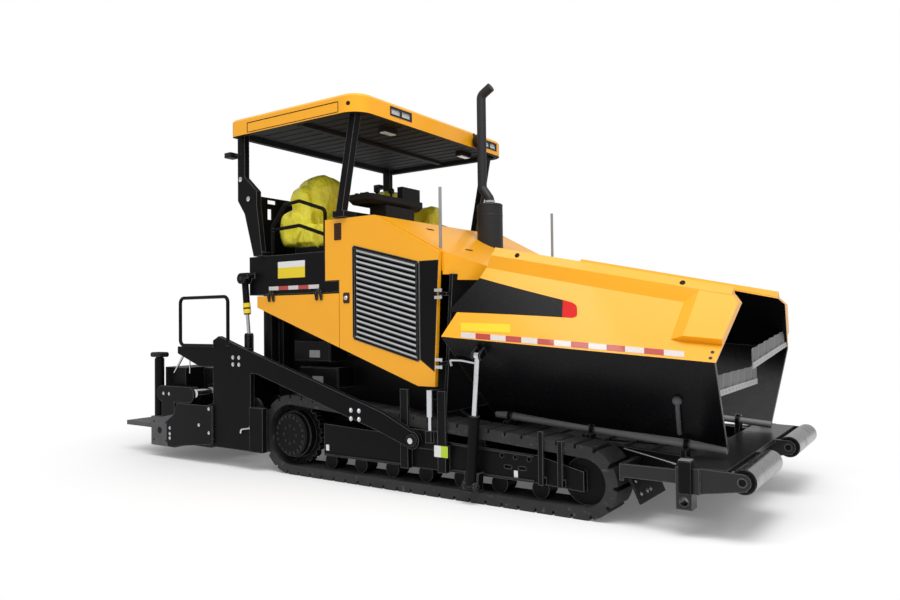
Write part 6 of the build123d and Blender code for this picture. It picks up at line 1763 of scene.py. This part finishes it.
@dataclass(frozen=True)
class ScreedFittings(SideFittings):
    """Control head, bolts, guide tube, levers, lift tag and lock pin about the screed on one side."""

    head_x: Pair = (-2.975, -2.79)
    head_y: Pair = (1.165, 1.285)
    head_z: Pair = (1.0995, 1.155)
    end_y: float = 1.3
    end_bolts: Outline = (
        (-1.92, 0.58), (-2.084, 0.401), (-1.92, 0.33), (-2.587, 0.334),
        (-2.587, 0.271), (-2.587, 0.224), (-2.70, 0.706), (-2.60, 0.706),
    )
    bolt_size: Pair = (0.012, 0.008)
    hole_at: Pair = (-2.776, 0.296)
    hole: Outline = ((0.036, 0.0), (0.036, 0.002), (0.030, 0.003))
    guide_at: Triple = (-2.166, 1.285, 0.728)
    guide: Outline = (
        (0.044, 0.0), (0.044, 0.20), (0.062, 0.20), (0.062, 0.212), (0.044, 0.212), (0.044, 0.34),
    )
    lever_y: float = 1.15
    lever_z: Pair = (0.925, 1.135)
    levers: tuple[tuple[Pair, float, int], ...] = (
        ((-2.715, -2.540), 0.013, 12),
        ((-2.440, -2.440), 0.007, 10),
    )
    lift_top: Triple = (-1.470, 1.196, 1.930)
    lift_low: Triple = (-1.410, 1.196, 1.345)
    tag_radii: Pair = (0.0342, 0.038)
    tags: tuple[tuple[str, Finish, Outline], ...] = (
        ("lift_tag", Finish.LABEL, ((0.255, 0.298), (0.316, 0.359))),
        ("lift_tag_dark", Finish.BLACK, ((0.298, 0.316),)),
    )
    lock_at: Triple = (-1.30, 1.276, 0.425)
    lock: Outline = ((0.02, 0.0), (0.02, 0.008), (0.014, 0.01))
    handle_y: float = 1.287
    handle: Outline = ((-1.29, 0.425), (-1.425, 0.405), (-1.435, 0.365))

    @property
    def body(self) -> str:
        """The screed extension's body."""
        return f"extension_{self.side.word}"

    def end_plate(self) -> None:
        """Control head, bolts and hole of the end plate, and the guide tube behind it."""
        near, far = self.side.span(*self.head_y)
        low, high = (self.head_x[0], near, self.head_z[0]), (self.head_x[1], far, self.head_z[1])
        self.piece("control_head", Finish.PLASTIC).box(low, high, 0.012).build()
        heads = [self.side.at(x, self.end_y, z) for x, z in self.end_bolts]
        self.piece("end_plate_bolts", Finish.CHROME).bolts(heads, self.side.out, *self.bolt_size).build()
        place = self.side.at(self.hole_at[0], self.end_y, self.hole_at[1])
        self.piece("end_box_hole", Finish.RUBBER).turned(self.hole, place, self.side.out, 24).build()
        inward = self.side.at(0.0, -1.0, 0.0)
        tube = self.piece("guide_tube", Finish.CHROME)
        tube.turned(self.guide, self.side.at(*self.guide_at), inward, 28).build()

    def lever_rods(self) -> None:
        """Two bright rods on the extension's deck."""
        rods = self.piece("screed_levers", Finish.CHROME)
        for ends, radius, sides in self.levers:
            rods.tube([self.side.at(x, self.lever_y, z) for x, z in zip(ends, self.lever_z)], radius, sides)
        rods.build()

    def lift_tag(self) -> None:
        """Lemon sleeve with a black band on the lift cylinder's barrel."""
        top, low = np.array(self.side.at(*self.lift_top)), np.array(self.side.at(*self.lift_low))
        way = unit(low - top)
        inner, outer = self.tag_radii
        for name, finish, spans in self.tags:
            piece = self.piece(name, finish, "lift_barrels")
            for start, end in spans:
                sleeve = [(inner, start), (outer, start), (outer, end), (inner, end)]
                piece.turned(sleeve, top, way, 28, capped=False)
            piece.build()

    def lock_pin(self) -> None:
        """Lock pin with a bent handle on the tow arm's plate."""
        pin = self.piece("arm_lock_pin", Finish.CHROME, "screed")
        pin.turned(self.lock, self.side.at(*self.lock_at), self.side.out, 20)
        path = bent_path([self.side.at(x, self.handle_y, z) for x, z in self.handle], 0.02)
        pin.tube(path, 0.010, 10).build()

    def build(self) -> None:
        """Make the fittings of one side."""
        self.end_plate()
        self.lever_rods()
        self.lift_tag()
        self.lock_pin()


# Studio


@dataclass(frozen=True)
class Studio:
    """Camera, pale floor and soft light."""

    camera_at: Triple = (4.6, -6.294, 1.507)
    azimuth: float = 34.58
    pitch: float = 1.35
    roll: float = -0.65
    lens: float = 29.80
    floor_half: float = 60.0
    floor_tone: float = 0.92
    floor_lift: float = 0.12
    floor_reach: Triple = (4.1, 2.5, 1.0)
    floor_near: float = 0.82
    floor_far: float = 1.32
    sky: float = 0.62
    lamps: tuple[tuple[str, Triple, Triple, float, float], ...] = (
        ("key", (4.6, -3.6, 10.5), (0.0, 0.0, 1.0), 6.0, 800.0),
        ("sheen", (-0.2, -5.4, 10.5), (2.0, -1.0, 1.7), 3.6, 170.0),
    )

    def camera(self) -> None:
        """Place the camera as the photo was taken: level turn, small pitch up and a slight roll."""
        turn, lift, tilt = (math.radians(angle) for angle in (self.azimuth, self.pitch, self.roll))
        ahead = np.array([-math.sin(turn) * math.cos(lift), math.cos(turn) * math.cos(lift), math.sin(lift)])
        right = np.array([math.cos(turn), math.sin(turn), 0.0])
        up = np.cross(right, ahead)
        tilted_right = right * math.cos(tilt) + up * math.sin(tilt)
        tilted_up = up * math.cos(tilt) - right * math.sin(tilt)
        made = bpy.data.objects.new("camera", bpy.data.cameras.new("camera"))
        made.data.lens = self.lens
        made.data.clip_end = 200.0
        matrix = np.eye(4)
        matrix[:3, :3] = np.column_stack([tilted_right, tilted_up, -ahead])
        matrix[:3, 3] = self.camera_at
        made.matrix_world = Matrix(matrix.tolist())
        bpy.context.scene.collection.objects.link(made)
        bpy.context.scene.camera = made

    def floor(self) -> None:
        """Lay a wide pale floor that keeps the machine's shadow."""
        half = self.floor_half
        mesh = bpy.data.meshes.new("floor")
        corners = [(-half, -half, 0), (half, -half, 0), (half, half, 0), (-half, half, 0)]
        mesh.from_pydata(corners, [], [(0, 1, 2, 3)])
        shader = Shader("floor")
        tone = (self.floor_tone,) * 3
        base = shader.colour(shader.noise(0.5), tone, tuple(0.99 * part for part in tone))
        values = {"Base Color": base, "Roughness": 0.9, "Specular IOR Level": 0.1}
        matt = shader.node("ShaderNodeBsdfPrincipled", values=values)
        white = shader.node("ShaderNodeEmission", values={"Color": (1.0, 1.0, 1.0, 1.0), "Strength": 1.0})
        shares = {0: shader.place, 1: self.floor_reach}
        oval = shader.node("ShaderNodeVectorMath", {"operation": "DIVIDE"}, shares)
        reach = shader.node("ShaderNodeVectorMath", {"operation": "LENGTH"}, {0: oval}, "Value")
        fade = reach.ramp(self.floor_near, self.floor_far) * (1.0 - self.floor_lift) + self.floor_lift
        seen = shader.rays("Is Camera Ray", "Is Glossy Ray", "Is Transmission Ray")
        shader.close(shader.node("ShaderNodeMixShader", values={0: fade * seen, 1: matt, 2: white}))
        mesh.materials.append(shader.owner)
        made = bpy.data.objects.new("floor", mesh)
        bpy.context.scene.collection.objects.link(made)

    def lamp(self, name: str, at: Triple, aim: Triple, size: float, power: float) -> None:
        """Hang one square soft light.

        Args:
            name: Name of the light.
            at: Where it hangs.
            aim: Point it shines at.
            size: Side of the square.
            power: Power in watts.
        """
        light = bpy.data.lights.new(name, "AREA")
        light.size = size
        light.energy = power
        made = bpy.data.objects.new(name, light)
        away = unit(np.asarray(at, float) - np.asarray(aim, float))
        across = np.cross(UP, away)
        matrix = place_matrix(at, across, np.cross(away, across))
        made.matrix_world = Matrix(matrix.tolist())
        bpy.context.scene.collection.objects.link(made)

    def world(self) -> None:
        """White world: full white to the camera and through clear pieces, softer otherwise."""
        shader = Shader("studio", "worlds")
        seen = shader.rays("Is Camera Ray", "Is Transmission Ray")
        soft, full = (
            shader.node("ShaderNodeBackground", values={"Color": (1.0, 1.0, 1.0, 1.0), "Strength": strength})
            for strength in (self.sky, 1.0)
        )
        mixed = shader.node("ShaderNodeMixShader", values={0: seen, 1: soft, 2: full})
        shader.close(mixed, "ShaderNodeOutputWorld")
        bpy.context.scene.world = shader.owner

    def build(self) -> None:
        """Set the whole studio up."""
        bpy.context.scene.view_settings.view_transform = "Standard"
        self.camera()
        self.floor()
        for name, at, aim, size, power in self.lamps:
            self.lamp(name, at, aim, size, power)
        self.world()


def main() -> None:
    """Dress the machine and set up the studio."""
    logging.basicConfig(level=logging.INFO, format="%(message)s")
    NodeFinishes().dress()
    for side in Side:
        WingFittings(side).build()
        DoorFittings(side).build()
        TrackFittings(side).build()
        ScreedFittings(side).build()
        FrontGuards(side).build()
        SeatCover(side).build()
    for side in Side:
        PlatformFittings(side).build()
    RoofFittings().build()
    DeskFittings().build()
    ExhaustFittings().build()
    Studio().build()


if __name__ == "__main__":
    main()
